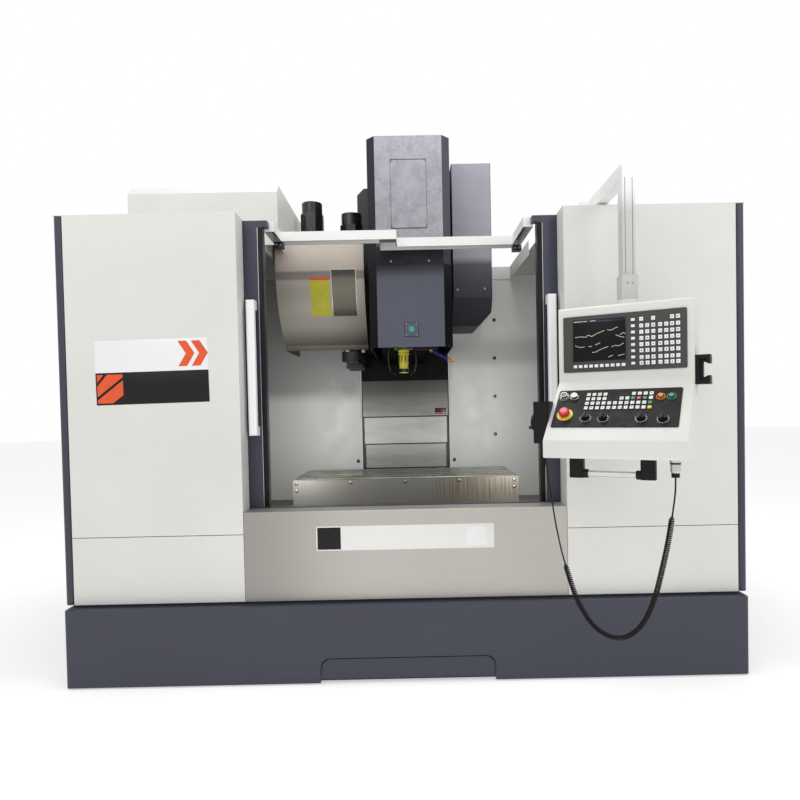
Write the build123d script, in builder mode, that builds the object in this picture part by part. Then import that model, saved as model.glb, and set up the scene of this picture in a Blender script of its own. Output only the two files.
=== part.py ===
"""Vertical machining centre with open sliding doors, tool changer and control pendant.

Millimetres, +Z up, front towards -Y. Depths are measured back from the front panel plane.
"""
import math
import os

from build123d import *

os.makedirs("parts", exist_ok=True)

# Driving dimensions of the whole machine
machine_width = 3000.0
skirt_height = 345.0
shadow_gap = 10.0
panel_top = 2054.0
panel_seam_height = 650.0
opening_width = 1420.0
apron_top = 747.0
wall_depth = 1420.0
column_rear_depth = 1990.0
sheet = 4.0
run_clearance = 0.5
seat_gap = 0.3
cut_over = 5.0

# Driving dimensions of the pendant, which set how far the machine reaches forward
pendant_yaw = 30.0
pendant_width = 493.0
pendant_reach = 220.0
pendant_x = 840.0
pendant_depth = -363.0
pendant_body_depth = 186.0

half_width = machine_width / 2
yaw_sin = math.sin(math.radians(pendant_yaw))
yaw_cos = math.cos(math.radians(pendant_yaw))
front_reach = pendant_depth - pendant_width / 2 * yaw_sin - pendant_reach * yaw_cos
front_y = -(front_reach + column_rear_depth) / 2
tube_x = pendant_x + pendant_body_depth / 2 * yaw_sin
tube_depth = pendant_depth + pendant_body_depth / 2 * yaw_cos


def at(depth):
    """Y of a plane that lies this far behind the front panels."""
    return front_y + depth


def block(xs, depths, zs, mode=Mode.ADD):
    """Box between two X values, two depths and two heights."""
    center = (sum(xs) / 2, at(sum(depths) / 2), sum(zs) / 2)
    with Locations(center):
        Box(xs[1] - xs[0], depths[1] - depths[0], zs[1] - zs[0], mode=mode)


def plan_prism(points, zs, mode=Mode.ADD):
    """Upright prism on an outline of (x, depth) points."""
    with BuildSketch(Plane.XY.offset(zs[0])) as profile:
        with BuildLine():
            Polyline(*[(x, at(depth)) for x, depth in points], close=True)
        make_face()
    extrude(profile.sketch, amount=zs[1] - zs[0], mode=mode)


def side_prism(points, xs, mode=Mode.ADD):
    """Prism along X on an outline of (depth, z) points."""
    with BuildSketch(Plane.YZ.offset(xs[0])) as profile:
        with BuildLine():
            Polyline(*[(at(depth), z) for depth, z in points], close=True)
        make_face()
    extrude(profile.sketch, amount=xs[1] - xs[0], mode=mode)


def front_prism(points, depths, mode=Mode.ADD):
    """Prism along Y on an outline of (x, z) points."""
    with BuildSketch(Plane.XZ.offset(-at(depths[0]))) as profile:
        with BuildLine():
            Polyline(*points, close=True)
        make_face()
    extrude(profile.sketch, amount=depths[0] - depths[1], mode=mode)


def save(builder, name):
    """Label a finished piece and write its STEP file."""
    builder.part.label = name
    export_step(builder.part, f"parts/{name}.step")


def spread(first, last, count):
    """Evenly spaced places from first to last."""
    return [first + (last - first) * index / (count - 1) for index in range(count)]


def mirrored(points):
    """The same outline on the other side of the machine's middle plane."""
    return [(-x, other) for x, other in points]


# Widths of the bed that the skirt and the back wall make room for
bed_half = 430.0
bed_rear_half = 560.0
bed_top = 560.0
bed_rear_depth = 1955.0
bed_pass = 6.0
bed_pass_half = bed_rear_half + bed_pass
bed_pass_top = bed_top + bed_pass

# Base skirt: a folded ring with a top flange and a low recess in front
skirt_front_depth = -50.0
skirt_rear_depth = 1985.0
skirt_lift = 8.0
skirt_flange = 110.0
skirt_edge_radius = 14.0
recess_width = 760.0
recess_height = 115.0
recess_radius = 43.0
recess_lip = 60.0
plinth_set_back = 12.0
plinth_wall = 30.0
skirt_side_step = 20.0

skirt_half = half_width - skirt_side_step
skirt_inner = skirt_half - sheet
skirt_hole_x = skirt_half - skirt_flange
plinth_half = skirt_half - plinth_set_back
recess_half = recess_width / 2

with BuildPart() as base_skirt:
    block((-skirt_half, skirt_half), (skirt_front_depth, skirt_rear_depth), (skirt_lift, skirt_height))
    fillet(base_skirt.edges().filter_by(Axis.Z).group_by(Axis.Y)[0], radius=skirt_edge_radius)
    block(
        (-skirt_inner, skirt_inner),
        (skirt_front_depth + sheet, skirt_rear_depth - sheet),
        (0, skirt_height - sheet),
        Mode.SUBTRACT,
    )
    block(
        (-skirt_hole_x, skirt_hole_x),
        (skirt_front_depth + skirt_flange, bed_rear_depth),
        (skirt_height - sheet - cut_over, skirt_height + cut_over),
        Mode.SUBTRACT,
    )
    # Folded lip round the recess, then its opening with rounded upper corners
    block(
        (-recess_half - sheet, recess_half + sheet),
        (skirt_front_depth + sheet, skirt_front_depth + recess_lip),
        (skirt_lift, recess_height + sheet),
    )
    with BuildSketch(Plane.XZ.offset(-at(skirt_front_depth - cut_over))):
        Rectangle(recess_width, 2 * recess_height)
        fillet(vertices(), radius=recess_radius)
    extrude(amount=-(recess_lip + 2 * cut_over), mode=Mode.SUBTRACT)
    # Set-back plinth that the panels stand on
    block((-plinth_half, plinth_half),
          (plinth_set_back, wall_depth + sheet), (skirt_height, skirt_height + shadow_gap))
    block((-plinth_half + plinth_wall, plinth_half - plinth_wall),
          (plinth_set_back + plinth_wall, wall_depth + sheet - plinth_wall),
          (skirt_height - cut_over, skirt_height + shadow_gap + cut_over), Mode.SUBTRACT)
    block((-bed_pass_half, bed_pass_half), (wall_depth - 2 * plinth_wall, wall_depth + plinth_wall),
          (skirt_height - cut_over, skirt_height + shadow_gap + cut_over), Mode.SUBTRACT)
save(base_skirt, "base_skirt")

# Coolant tank on skids, behind the recess
tank_width = 700.0
tank_front_depth = -30.0
tank_rear_depth = 240.0
tank_bottom = 24.0
tank_top = 300.0
tank_skid_width = 40.0
tank_skid_inset = 60.0
tank_face_height = 100.0
tank_face_depth = 40.0
tank_edge_radius = 12.0
tank_neck_depth = 30.0

tank_half = tank_width / 2
with BuildPart() as coolant_tank:
    tank_outline = [
        (tank_front_depth, tank_bottom),
        (tank_rear_depth, tank_bottom),
        (tank_rear_depth, tank_top),
        (tank_front_depth + tank_face_depth + tank_neck_depth, tank_top),
        (tank_front_depth + tank_face_depth, tank_face_height),
        (tank_front_depth, tank_face_height),
    ]
    side_prism(tank_outline, (-tank_half, tank_half))
    fillet(coolant_tank.edges().filter_by(Axis.Z).group_by(Axis.Y)[0], radius=tank_edge_radius)
    for side in (-1, 1):
        skid_x = side * (tank_half - tank_skid_inset)
        block((skid_x - tank_skid_width / 2, skid_x + tank_skid_width / 2),
              (tank_front_depth + tank_skid_inset, tank_rear_depth - tank_skid_inset), (0, tank_bottom))
save(coolant_tank, "coolant_tank")

# Cast bed with a wide rear for the column and two Y guideways
bed_front_depth = 260.0
bed_rear_wide_depth = 1380.0
bed_bottom = 90.0
bed_deck = 500.0
guide_width = 60.0
guide_center = 300.0
bed_rib_count = 4
bed_rib_width = 150.0
bed_rib_height = 220.0
bed_rib_cut = 40.0
bed_corner_radius = 40.0

with BuildPart() as machine_bed:
    bed_outline = [
        (-bed_half, bed_front_depth),
        (bed_half, bed_front_depth),
        (bed_half, bed_rear_wide_depth),
        (bed_rear_half, bed_rear_wide_depth),
        (bed_rear_half, bed_rear_depth),
        (-bed_rear_half, bed_rear_depth),
        (-bed_rear_half, bed_rear_wide_depth),
        (-bed_half, bed_rear_wide_depth),
    ]
    plan_prism(bed_outline, (bed_bottom, bed_deck))
    fillet(machine_bed.edges().filter_by(Axis.Z), radius=bed_corner_radius)
    block((-bed_half, bed_half), (bed_rear_wide_depth, bed_rear_depth - bed_corner_radius), (bed_deck, bed_top))
    for side in (-1, 1):
        guide_x = side * guide_center
        block((guide_x - guide_width / 2, guide_x + guide_width / 2),
              (bed_front_depth, bed_rear_wide_depth), (bed_deck, bed_top))
        # Core openings along each flank of the casting
        first_rib = bed_front_depth + bed_rib_width
        last_rib = bed_rear_wide_depth - bed_rib_width
        for depth in spread(first_rib, last_rib, bed_rib_count):
            block((side * bed_half - bed_rib_cut, side * bed_half + bed_rib_cut),
                  (depth - bed_rib_width / 2, depth + bed_rib_width / 2),
                  (bed_bottom + bed_rib_cut, bed_bottom + bed_rib_cut + bed_rib_height), Mode.SUBTRACT)
save(machine_bed, "machine_bed")

# Levelling feet: pads, studs and nuts under the bed
foot_radius = 60.0
foot_height = 30.0
foot_stud_radius = 16.0
foot_inset = 90.0
foot_places = [
    (side * (half - foot_inset), at(depth))
    for side in (-1, 1)
    for half, depth in (
        (bed_half, bed_front_depth + foot_inset),
        (bed_half, (bed_front_depth + bed_rear_wide_depth) / 2),
        (bed_rear_half, bed_rear_wide_depth + foot_inset),
        (bed_rear_half, bed_rear_depth - foot_inset),
    )
]

with BuildPart() as leveling_feet:
    with BuildSketch(Plane.XY):
        with Locations(*foot_places):
            Circle(foot_radius)
    extrude(amount=foot_height)
    with BuildSketch(Plane.XY.offset(foot_height)):
        with Locations(*foot_places):
            Circle(foot_stud_radius)
    extrude(amount=bed_bottom - foot_height)
save(leveling_feet, "leveling_feet")

# Front panels: folded sheets, split by a seam into an upper and a lower pair
panel_outer_x = 1460.0
panel_return = 115.0
panel_outer_return = 60.0
panel_edge_radius = 3.0
panel_bottom = skirt_height + shadow_gap
panel_inner_x = opening_width / 2
roof_bottom = panel_top - sheet
seam_gap = 3.0

panel_outline = [
    (panel_inner_x, 0),
    (panel_outer_x, 0),
    (panel_outer_x, panel_outer_return),
    (panel_outer_x - sheet, panel_outer_return),
    (panel_outer_x - sheet, sheet),
    (panel_inner_x + sheet, sheet),
    (panel_inner_x + sheet, panel_return),
    (panel_inner_x, panel_return),
]
panel_levels = (
    (panel_seam_height + seam_gap / 2, roof_bottom),
    (panel_bottom, panel_seam_height - seam_gap / 2),
)
with BuildPart() as front_panels:
    for level_zs in panel_levels:
        for outline in (panel_outline, mirrored(panel_outline)):
            plan_prism(outline, level_zs)
    fillet(front_panels.edges().filter_by(Axis.Z).group_by(Axis.Y)[0], radius=panel_edge_radius)
save(front_panels, "front_panels")

# Stainless apron below the doors, with a folded top sill
apron_gap = 2.0
apron_bottom_return = 40.0
apron_half = panel_inner_x - apron_gap
with BuildPart() as front_apron:
    apron_outline = [
        (0, panel_bottom),
        (apron_bottom_return, panel_bottom),
        (apron_bottom_return, panel_bottom + sheet),
        (sheet, panel_bottom + sheet),
        (sheet, apron_top - sheet),
        (panel_return, apron_top - sheet),
        (panel_return, apron_top),
        (0, apron_top),
    ]
    side_prism(apron_outline, (-apron_half, apron_half))
    fillet(front_apron.edges().filter_by(Axis.X).group_by(Axis.Y)[0].sort_by(Axis.Z)[-1:],
           radius=panel_edge_radius)
save(front_apron, "front_apron")

# Side panels with a rolled front edge
post_depth = 60.0
post_radius = (half_width - panel_outer_x) / 2
wall_rear_depth = wall_depth + sheet
with BuildPart() as side_panels:
    for side in (1, -1):
        with BuildSketch(Plane.XY.offset(panel_bottom)):
            with BuildLine():
                nose_start = (side * panel_outer_x, at(post_radius))
                nose_end = (side * half_width, at(post_radius))
                ThreePointArc(nose_start, (side * (half_width - post_radius), at(0)), nose_end)
                Polyline(
                    nose_end,
                    (side * half_width, at(wall_rear_depth)),
                    (side * (half_width - sheet), at(wall_rear_depth)),
                    (side * (half_width - sheet), at(post_depth)),
                    (side * panel_outer_x, at(post_depth)),
                    nose_start,
                )
            make_face()
        extrude(amount=roof_bottom - panel_bottom)
save(side_panels, "side_panels")

# Back wall panels, each with a rim sheet along its top
column_half = 290.0
rim_bottom = 2025.0
rim_top = 2106.0
rim_x = panel_inner_x
with BuildPart() as back_panels:
    for side in (1, -1):
        wall_xs = sorted((side * column_half, side * (half_width - sheet)))
        rim_xs = sorted((side * column_half, side * (rim_x - sheet)))
        block(wall_xs, (wall_depth, wall_rear_depth), (panel_bottom, roof_bottom))
        block(rim_xs, (wall_depth - sheet, wall_depth), (rim_bottom, rim_top))
        block(rim_xs, (wall_depth, wall_rear_depth), (roof_bottom, rim_top))
    block((-bed_pass_half, bed_pass_half), (wall_depth - cut_over, wall_rear_depth + cut_over),
          (panel_bottom - cut_over, bed_pass_top), Mode.SUBTRACT)
save(back_panels, "back_panels")

# Roof panels with an upstanding rim along the inner edge
hood_front_depth = 560.0
hood_rear_depth = 1412.0
roof_rim_gap = 9.0
right_rim_depth = 771.0
left_rim_depths = (hood_front_depth + sheet + roof_rim_gap, hood_rear_depth - sheet - roof_rim_gap)
right_rim_depths = (right_rim_depth, wall_depth - sheet)
arm_pivot_x = tube_x
arm_pivot_depth = 200.0
boss_radius = 85.0
boss_height = 10.0
boss_pin_radius = 22.0
boss_pin_height = 44.0
with BuildPart() as roof_panels:
    for side, rim_depths in ((1, right_rim_depths), (-1, left_rim_depths)):
        block(sorted((side * rim_x, side * half_width)), (0, wall_rear_depth), (roof_bottom, panel_top))
        block(sorted((side * rim_x, side * (rim_x - sheet))), rim_depths, (rim_bottom, rim_top))
    roof_front_edges = roof_panels.edges().filter_by(Axis.X).group_by(Axis.Y)[0].group_by(Axis.Z)[-1]
    fillet(roof_front_edges, radius=panel_edge_radius)
    # Welded swivel boss for the pendant arm
    with BuildSketch(Plane.XY.offset(panel_top)):
        with Locations((arm_pivot_x, at(arm_pivot_depth))):
            Circle(boss_radius)
    extrude(amount=boss_height)
    with BuildSketch(Plane.XY.offset(panel_top + boss_height)):
        with Locations((arm_pivot_x, at(arm_pivot_depth))):
            Circle(boss_pin_radius)
    extrude(amount=boss_pin_height)
save(roof_panels, "roof_panels")

# Hood over the tool magazine, an open-bottomed cover with a sloped top edge
hood_outer_x = 1416.0
hood_inner_x = 639.0
hood_top = 2374.0
hood_slope = 45.0
with BuildPart() as magazine_hood:
    block((-hood_outer_x, -hood_inner_x), (hood_front_depth, hood_rear_depth), (panel_top, hood_top))
    hood_rim = magazine_hood.faces().sort_by(Axis.Z)[-1].edges()
    chamfer(hood_rim.sort_by(Axis.Y)[0:1], length=hood_slope)
    offset(amount=-sheet, openings=magazine_hood.faces().sort_by(Axis.Z)[0])
save(magazine_hood, "magazine_hood")

# Chip chutes either side of the bed
chute_gap = 6.0
chute_front_depth = panel_return + run_clearance
chute_front_height = 390.0
chute_rear_height = 592.0
with BuildPart() as chip_chutes:
    chute_outline = [
        (chute_front_depth, chute_front_height),
        (wall_depth, chute_rear_height),
        (wall_depth, chute_rear_height + sheet),
        (chute_front_depth, chute_front_height + sheet),
    ]
    for side in (-1, 1):
        chute_xs = sorted((side * (bed_half + chute_gap), side * (panel_outer_x - chute_gap)))
        side_prism(chute_outline, chute_xs)
save(chip_chutes, "chip_chutes")

# Door rails: a full-width sill channel and one short channel over each door
door_front_depth = 121.0
door_thickness = 40.0
door_top = 2022.0
door_inner_x = 620.0
door_width = 760.0
rail_rear_depth = 170.0
rail_drop = 41.0
top_rail_inner_x = 600.0
door_rear_depth = door_front_depth + door_thickness
sill_top = apron_top + cut_over / 2
door_bottom = sill_top + run_clearance
rail_half = panel_outer_x - sheet - run_clearance
with BuildPart() as door_rails:
    block((-rail_half, rail_half), (panel_return, rail_rear_depth), (sill_top - rail_drop, sill_top))
    block((-rail_half - cut_over, rail_half + cut_over),
          (panel_return + sheet, rail_rear_depth - sheet),
          (sill_top - rail_drop - cut_over, sill_top - sheet), Mode.SUBTRACT)
    for side in (-1, 1):
        rail_xs = sorted((side * top_rail_inner_x, side * rail_half))
        block(rail_xs, (door_front_depth, door_rear_depth + sheet), (door_top + run_clearance, roof_bottom))
save(door_rails, "door_rails")

# Tie beam over the opening: two offset bars joined by a gusset, open channels from below
beam_bottom = 2011.0
beam_top = 2056.0
beam_width = 75.0
beam_end_width = 45.0
beam_left_x = -622.0
beam_right_x = 612.0
beam_left_depth = 330.0
beam_right_depth = 475.0
gusset_left_x = -110.0
gusset_right_x = -20.0
beam_seat_depth = door_rear_depth + sheet
with BuildPart() as tie_beam:
    with BuildSketch(Plane.XY.offset(beam_bottom)) as beam_plan:
        with BuildLine():
            Polyline(
                (beam_left_x, at(beam_seat_depth)),
                (beam_left_x + beam_end_width, at(beam_seat_depth)),
                (beam_left_x + beam_end_width, at(beam_left_depth)),
                (gusset_right_x, at(beam_left_depth)),
                (gusset_right_x, at(beam_right_depth)),
                (beam_right_x - beam_end_width, at(beam_right_depth)),
                (beam_right_x - beam_end_width, at(beam_seat_depth)),
                (beam_right_x, at(beam_seat_depth)),
                (beam_right_x, at(beam_right_depth + beam_width)),
                (gusset_left_x, at(beam_right_depth + beam_width)),
                (gusset_left_x, at(beam_left_depth + beam_width)),
                (beam_left_x, at(beam_left_depth + beam_width)),
                close=True,
            )
        make_face()
    extrude(amount=beam_top - beam_bottom)
    with BuildSketch(Plane.XY.offset(beam_bottom)):
        add(beam_plan.sketch.moved(Location((0, 0, -beam_bottom))))
        offset(amount=-sheet, kind=Kind.INTERSECTION, mode=Mode.REPLACE)
    extrude(amount=beam_top - beam_bottom - sheet, mode=Mode.SUBTRACT)
save(tie_beam, "tie_beam")

# Electrical cabinet behind the right back panel, with a hinged rear door and a mounting plate
cabinet_inner_x = 330.0
cabinet_outer_x = 1440.0
cabinet_bottom = 620.0
cabinet_top = 1980.0
cabinet_rear_depth = 1800.0
cabinet_door_thickness = 22.0
cabinet_hinge_radius = 9.0
cabinet_hinge_length = 60.0
hinge_leaf = 6.0
cabinet_hinge_inset = 220.0
latch_width = 30.0
latch_height = 130.0
latch_inset = 60.0
latch_thickness = 14.0
door_seat_depth = cabinet_rear_depth + run_clearance
hinge_x = cabinet_outer_x + cabinet_hinge_radius + run_clearance
hinge_heights = spread(cabinet_bottom + cabinet_hinge_inset, cabinet_top - cabinet_hinge_inset, 2)


def knuckle(middle_z, length):
    """Hinge barrel on the door's axis, centred at a height."""
    with Locations((hinge_x, at(door_seat_depth), middle_z)):
        Cylinder(cabinet_hinge_radius, length)


with BuildPart() as electrical_cabinet:
    block((cabinet_inner_x, cabinet_outer_x), (wall_rear_depth, cabinet_rear_depth), (cabinet_bottom, cabinet_top))
    offset(amount=-sheet, openings=electrical_cabinet.faces().sort_by(Axis.Y)[-1])
    for hinge_z in hinge_heights:
        for end in (-1, 1):
            knuckle_z = hinge_z + end * (cabinet_hinge_length + run_clearance)
            block((cabinet_outer_x, hinge_x), (cabinet_rear_depth - hinge_leaf, cabinet_rear_depth),
                  (knuckle_z - cabinet_hinge_length / 2, knuckle_z + cabinet_hinge_length / 2))
            knuckle(knuckle_z, cabinet_hinge_length)
save(electrical_cabinet, "electrical_cabinet")

with BuildPart() as cabinet_door:
    block((cabinet_inner_x, cabinet_outer_x),
          (door_seat_depth, door_seat_depth + cabinet_door_thickness), (cabinet_bottom, cabinet_top))
    offset(amount=-sheet, openings=cabinet_door.faces().sort_by(Axis.Y)[0])
    for hinge_z in hinge_heights:
        block((cabinet_outer_x, hinge_x), (door_seat_depth, door_seat_depth + cabinet_hinge_radius),
              (hinge_z - cabinet_hinge_length / 2, hinge_z + cabinet_hinge_length / 2))
        knuckle(hinge_z, cabinet_hinge_length)
    latch_x = cabinet_inner_x + latch_inset
    for latch_z in spread(cabinet_bottom + cabinet_hinge_inset, cabinet_top - cabinet_hinge_inset, 2):
        block((latch_x - latch_width / 2, latch_x + latch_width / 2),
              (door_seat_depth + cabinet_door_thickness, door_seat_depth + cabinet_door_thickness + latch_thickness),
              (latch_z - latch_height / 2, latch_z + latch_height / 2))
save(cabinet_door, "cabinet_door")

# Sliding doors: folded pans with a window, a pane and a bar handle each
stile_width = 110.0
window_bottom = 1010.0
window_top = 1900.0
window_radius = 40.0
pane_lap = 22.0
pane_thickness = 10.0
handle_outer_x = 693.0
handle_width = 38.0
handle_bottom = 1080.0
handle_top = 1687.0
handle_foot = 40.0
handle_front_depth = 66.0
handle_bar = 26.0
handle_radius = 9.0
door_outer_x = door_inner_x + door_width
window_half_width = door_width / 2 - stile_width
window_center_z = (window_bottom + window_top) / 2
window_height = window_top - window_bottom
for side, side_name in ((1, "right"), (-1, "left")):
    window_x = side * (door_inner_x + door_width / 2)
    with BuildPart() as door:
        door_xs = sorted((side * door_inner_x, side * door_outer_x))
        block(door_xs, (door_front_depth, door_rear_depth), (door_bottom, door_top))
        offset(amount=-sheet, openings=door.faces().sort_by(Axis.Y)[-1])
        with BuildSketch(Plane.XZ.offset(-at(door_front_depth - cut_over))):
            with Locations((window_x, window_center_z)):
                RectangleRounded(2 * window_half_width, window_height, window_radius)
        extrude(amount=-(sheet + 2 * cut_over), mode=Mode.SUBTRACT)
    save(door, f"{side_name}_door")

    with BuildPart() as pane:
        with BuildSketch(Plane.XZ.offset(-at(door_front_depth + sheet))):
            with Locations((window_x, window_center_z)):
                RectangleRounded(2 * (window_half_width + pane_lap), window_height + 2 * pane_lap, window_radius)
        extrude(amount=-pane_thickness)
    save(pane, f"{side_name}_window")

    with BuildPart() as handle:
        handle_xs = sorted((side * (handle_outer_x - handle_width), side * handle_outer_x))
        bar_rear_depth = handle_front_depth + handle_bar
        side_prism(
            [
                (handle_front_depth, handle_bottom),
                (door_front_depth, handle_bottom),
                (door_front_depth, handle_bottom + handle_foot),
                (bar_rear_depth, handle_bottom + handle_foot),
                (bar_rear_depth, handle_top - handle_foot),
                (door_front_depth, handle_top - handle_foot),
                (door_front_depth, handle_top),
                (handle_front_depth, handle_top),
            ],
            handle_xs,
        )
        fillet(handle.faces().sort_by(Axis.Y)[0].edges(), radius=handle_radius)
    save(handle, f"{side_name}_handle")

# Saddle on the bed guides, with two X ways on its top
table_top = 821.0
table_thickness = 110.0
table_half = 600.0
table_front_depth = 606.0
table_rear_depth = 1106.0
saddle_half = 400.0
saddle_inset = 14.0
way_height = 22.0
way_width = 70.0
way_inset = 60.0
saddle_waist = 60.0
saddle_foot_height = 50.0
table_bottom = table_top - table_thickness
saddle_bottom = bed_top + run_clearance
saddle_top = table_bottom - run_clearance
saddle_front_depth = table_front_depth + saddle_inset
saddle_rear_depth = table_rear_depth - saddle_inset
with BuildPart() as saddle:
    waist_x = saddle_half - saddle_waist
    front_prism(
        [
            (-saddle_half, saddle_bottom),
            (saddle_half, saddle_bottom),
            (saddle_half, saddle_bottom + saddle_foot_height),
            (waist_x, saddle_top - way_height),
            (-waist_x, saddle_top - way_height),
            (-saddle_half, saddle_bottom + saddle_foot_height),
        ],
        (saddle_front_depth, saddle_rear_depth),
    )
    for depth in (saddle_front_depth + way_inset, saddle_rear_depth - way_inset):
        block((-waist_x, waist_x), (depth - way_width / 2, depth + way_width / 2),
              (saddle_top - way_height, saddle_top))
save(saddle, "saddle")

# Work table with T-slots along X
slot_count = 5
slot_pitch = 100.0
slot_width = 18.0
slot_neck = 20.0
slot_foot_width = 30.0
slot_foot_height = 13.0
table_chamfer = 3.0
table_mid_depth = (table_front_depth + table_rear_depth) / 2
with BuildPart() as work_table:
    block((-table_half, table_half), (table_front_depth, table_rear_depth), (table_bottom, table_top))
    chamfer(work_table.faces().sort_by(Axis.Z)[-1].edges(), length=table_chamfer)
    first_slot = table_mid_depth - slot_pitch * (slot_count - 1) / 2
    last_slot = table_mid_depth + slot_pitch * (slot_count - 1) / 2
    for depth in spread(first_slot, last_slot, slot_count):
        neck_bottom = table_top - slot_neck
        foot_bottom = neck_bottom - slot_foot_height
        side_prism(
            [
                (depth - slot_width / 2, table_top + cut_over),
                (depth - slot_width / 2, neck_bottom),
                (depth - slot_foot_width / 2, neck_bottom),
                (depth - slot_foot_width / 2, foot_bottom),
                (depth + slot_foot_width / 2, foot_bottom),
                (depth + slot_foot_width / 2, neck_bottom),
                (depth + slot_width / 2, neck_bottom),
                (depth + slot_width / 2, table_top + cut_over),
            ],
            (-table_half - cut_over, table_half + cut_over),
            Mode.SUBTRACT,
        )
save(work_table, "work_table")

# Sheet guard on the front and ends of the table
guard_bottom = 604.0
guard_drop = 8.0
guard_return = 90.0
guard_clearance = 5.0
with BuildPart() as table_guard:
    guard_half = table_half + sheet
    plan_prism(
        [
            (-guard_half, table_front_depth - sheet),
            (guard_half, table_front_depth - sheet),
            (guard_half, table_front_depth + guard_return),
            (table_half, table_front_depth + guard_return),
            (table_half, table_front_depth),
            (-table_half, table_front_depth),
            (-table_half, table_front_depth + guard_return),
            (-guard_half, table_front_depth + guard_return),
        ],
        (guard_bottom, table_top - guard_drop),
    )
    fillet(table_guard.edges().filter_by(Axis.Z).group_by(Axis.Y)[0], radius=panel_edge_radius)
    # Below the table the returns stop short of the saddle, which they pass as the table travels
    block((-guard_half - cut_over, guard_half + cut_over),
          (saddle_front_depth - guard_clearance, table_front_depth + guard_return + cut_over),
          (guard_bottom - cut_over, table_bottom), Mode.SUBTRACT)
save(table_guard, "table_guard")

# Column with sloped top corners, and the two Z rails on its face
column_front_depth = 1440.0
column_top = 2640.0
column_slope = 45.0
column_core = 150.0
rail_height = 25.0
rail_front_depth = column_front_depth - rail_height
rail_x = 200.0
rail_width = 46.0
rail_bottom = 760.0
rail_top = 2320.0
rail_chamfer = 8.0
with BuildPart() as column:
    front_prism(
        [
            (-column_half, bed_top),
            (column_half, bed_top),
            (column_half, column_top - column_slope),
            (column_half - column_slope, column_top),
            (-column_half + column_slope, column_top),
            (-column_half, column_top - column_slope),
        ],
        (column_front_depth, column_rear_depth),
    )
    block((-column_core, column_core), (column_rear_depth - column_core, column_rear_depth + cut_over),
          (bed_top + column_core, column_top - column_core), Mode.SUBTRACT)
    for side in (-1, 1):
        center_x = side * rail_x
        half_rail = rail_width / 2
        plan_prism(
            [
                (center_x - half_rail, column_front_depth),
                (center_x - half_rail, rail_front_depth + rail_chamfer),
                (center_x - half_rail + rail_chamfer, rail_front_depth),
                (center_x + half_rail - rail_chamfer, rail_front_depth),
                (center_x + half_rail, rail_front_depth + rail_chamfer),
                (center_x + half_rail, column_front_depth),
            ],
            (rail_bottom, rail_top),
        )
save(column, "column")

# Spindle head casting: carriage on the Z rails, arm and spindle housing
spindle_depth = 840.0
head_bottom = 1535.0
head_top = 1930.0
carriage_half = 285.0
carriage_bottom = 1369.0
carriage_thickness = 29.5
head_arm_half = 125.0
head_arm_rear_drop = 60.0
housing_radius = 118.0
cartridge_radius = 55.0
nose_height = 1521.0
cartridge_length = 359.0
arm_nose_depth = 780.0
carriage_rear_depth = rail_front_depth - run_clearance
carriage_front_depth = carriage_rear_depth - carriage_thickness
cartridge_top = nose_height + cartridge_length
with BuildPart() as spindle_head:
    block((-carriage_half, carriage_half), (carriage_front_depth, carriage_rear_depth), (carriage_bottom, head_top))
    side_prism(
        [
            (arm_nose_depth, head_bottom),
            (carriage_front_depth, head_bottom - head_arm_rear_drop),
            (carriage_front_depth, head_top),
            (arm_nose_depth, head_top),
        ],
        (-head_arm_half, head_arm_half),
    )
    with BuildSketch(Plane.XY.offset(head_bottom)):
        with Locations((0, at(spindle_depth))):
            Circle(housing_radius)
    extrude(amount=head_top - head_bottom)
    with BuildSketch(Plane.XY.offset(head_bottom - head_arm_rear_drop)):
        with Locations((0, at(spindle_depth))):
            Circle(cartridge_radius + seat_gap)
    extrude(amount=cartridge_top + run_clearance - head_bottom + head_arm_rear_drop, mode=Mode.SUBTRACT)
save(spindle_head, "spindle_head")

# Spindle cartridge with a steep taper bore, and the tool holder seated in it
taper_radius = 22.2
taper_depth = 65.0
taper_share = 3.5 / 24
drawbar_radius = 9.0
nose_chamfer = 6.0
taper_small_radius = taper_radius - taper_depth * taper_share
with BuildPart() as spindle:
    with BuildSketch(Plane.XZ.offset(-at(spindle_depth))):
        with BuildLine():
            Polyline(
                (taper_radius, nose_height),
                (cartridge_radius - nose_chamfer, nose_height),
                (cartridge_radius, nose_height + nose_chamfer),
                (cartridge_radius, cartridge_top),
                (drawbar_radius, cartridge_top),
                (drawbar_radius, nose_height + taper_depth),
                (taper_small_radius, nose_height + taper_depth),
                close=True,
            )
        make_face()
    revolve(axis=Axis((0, at(spindle_depth), 0), (0, 0, 1)))
save(spindle, "spindle")

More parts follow.
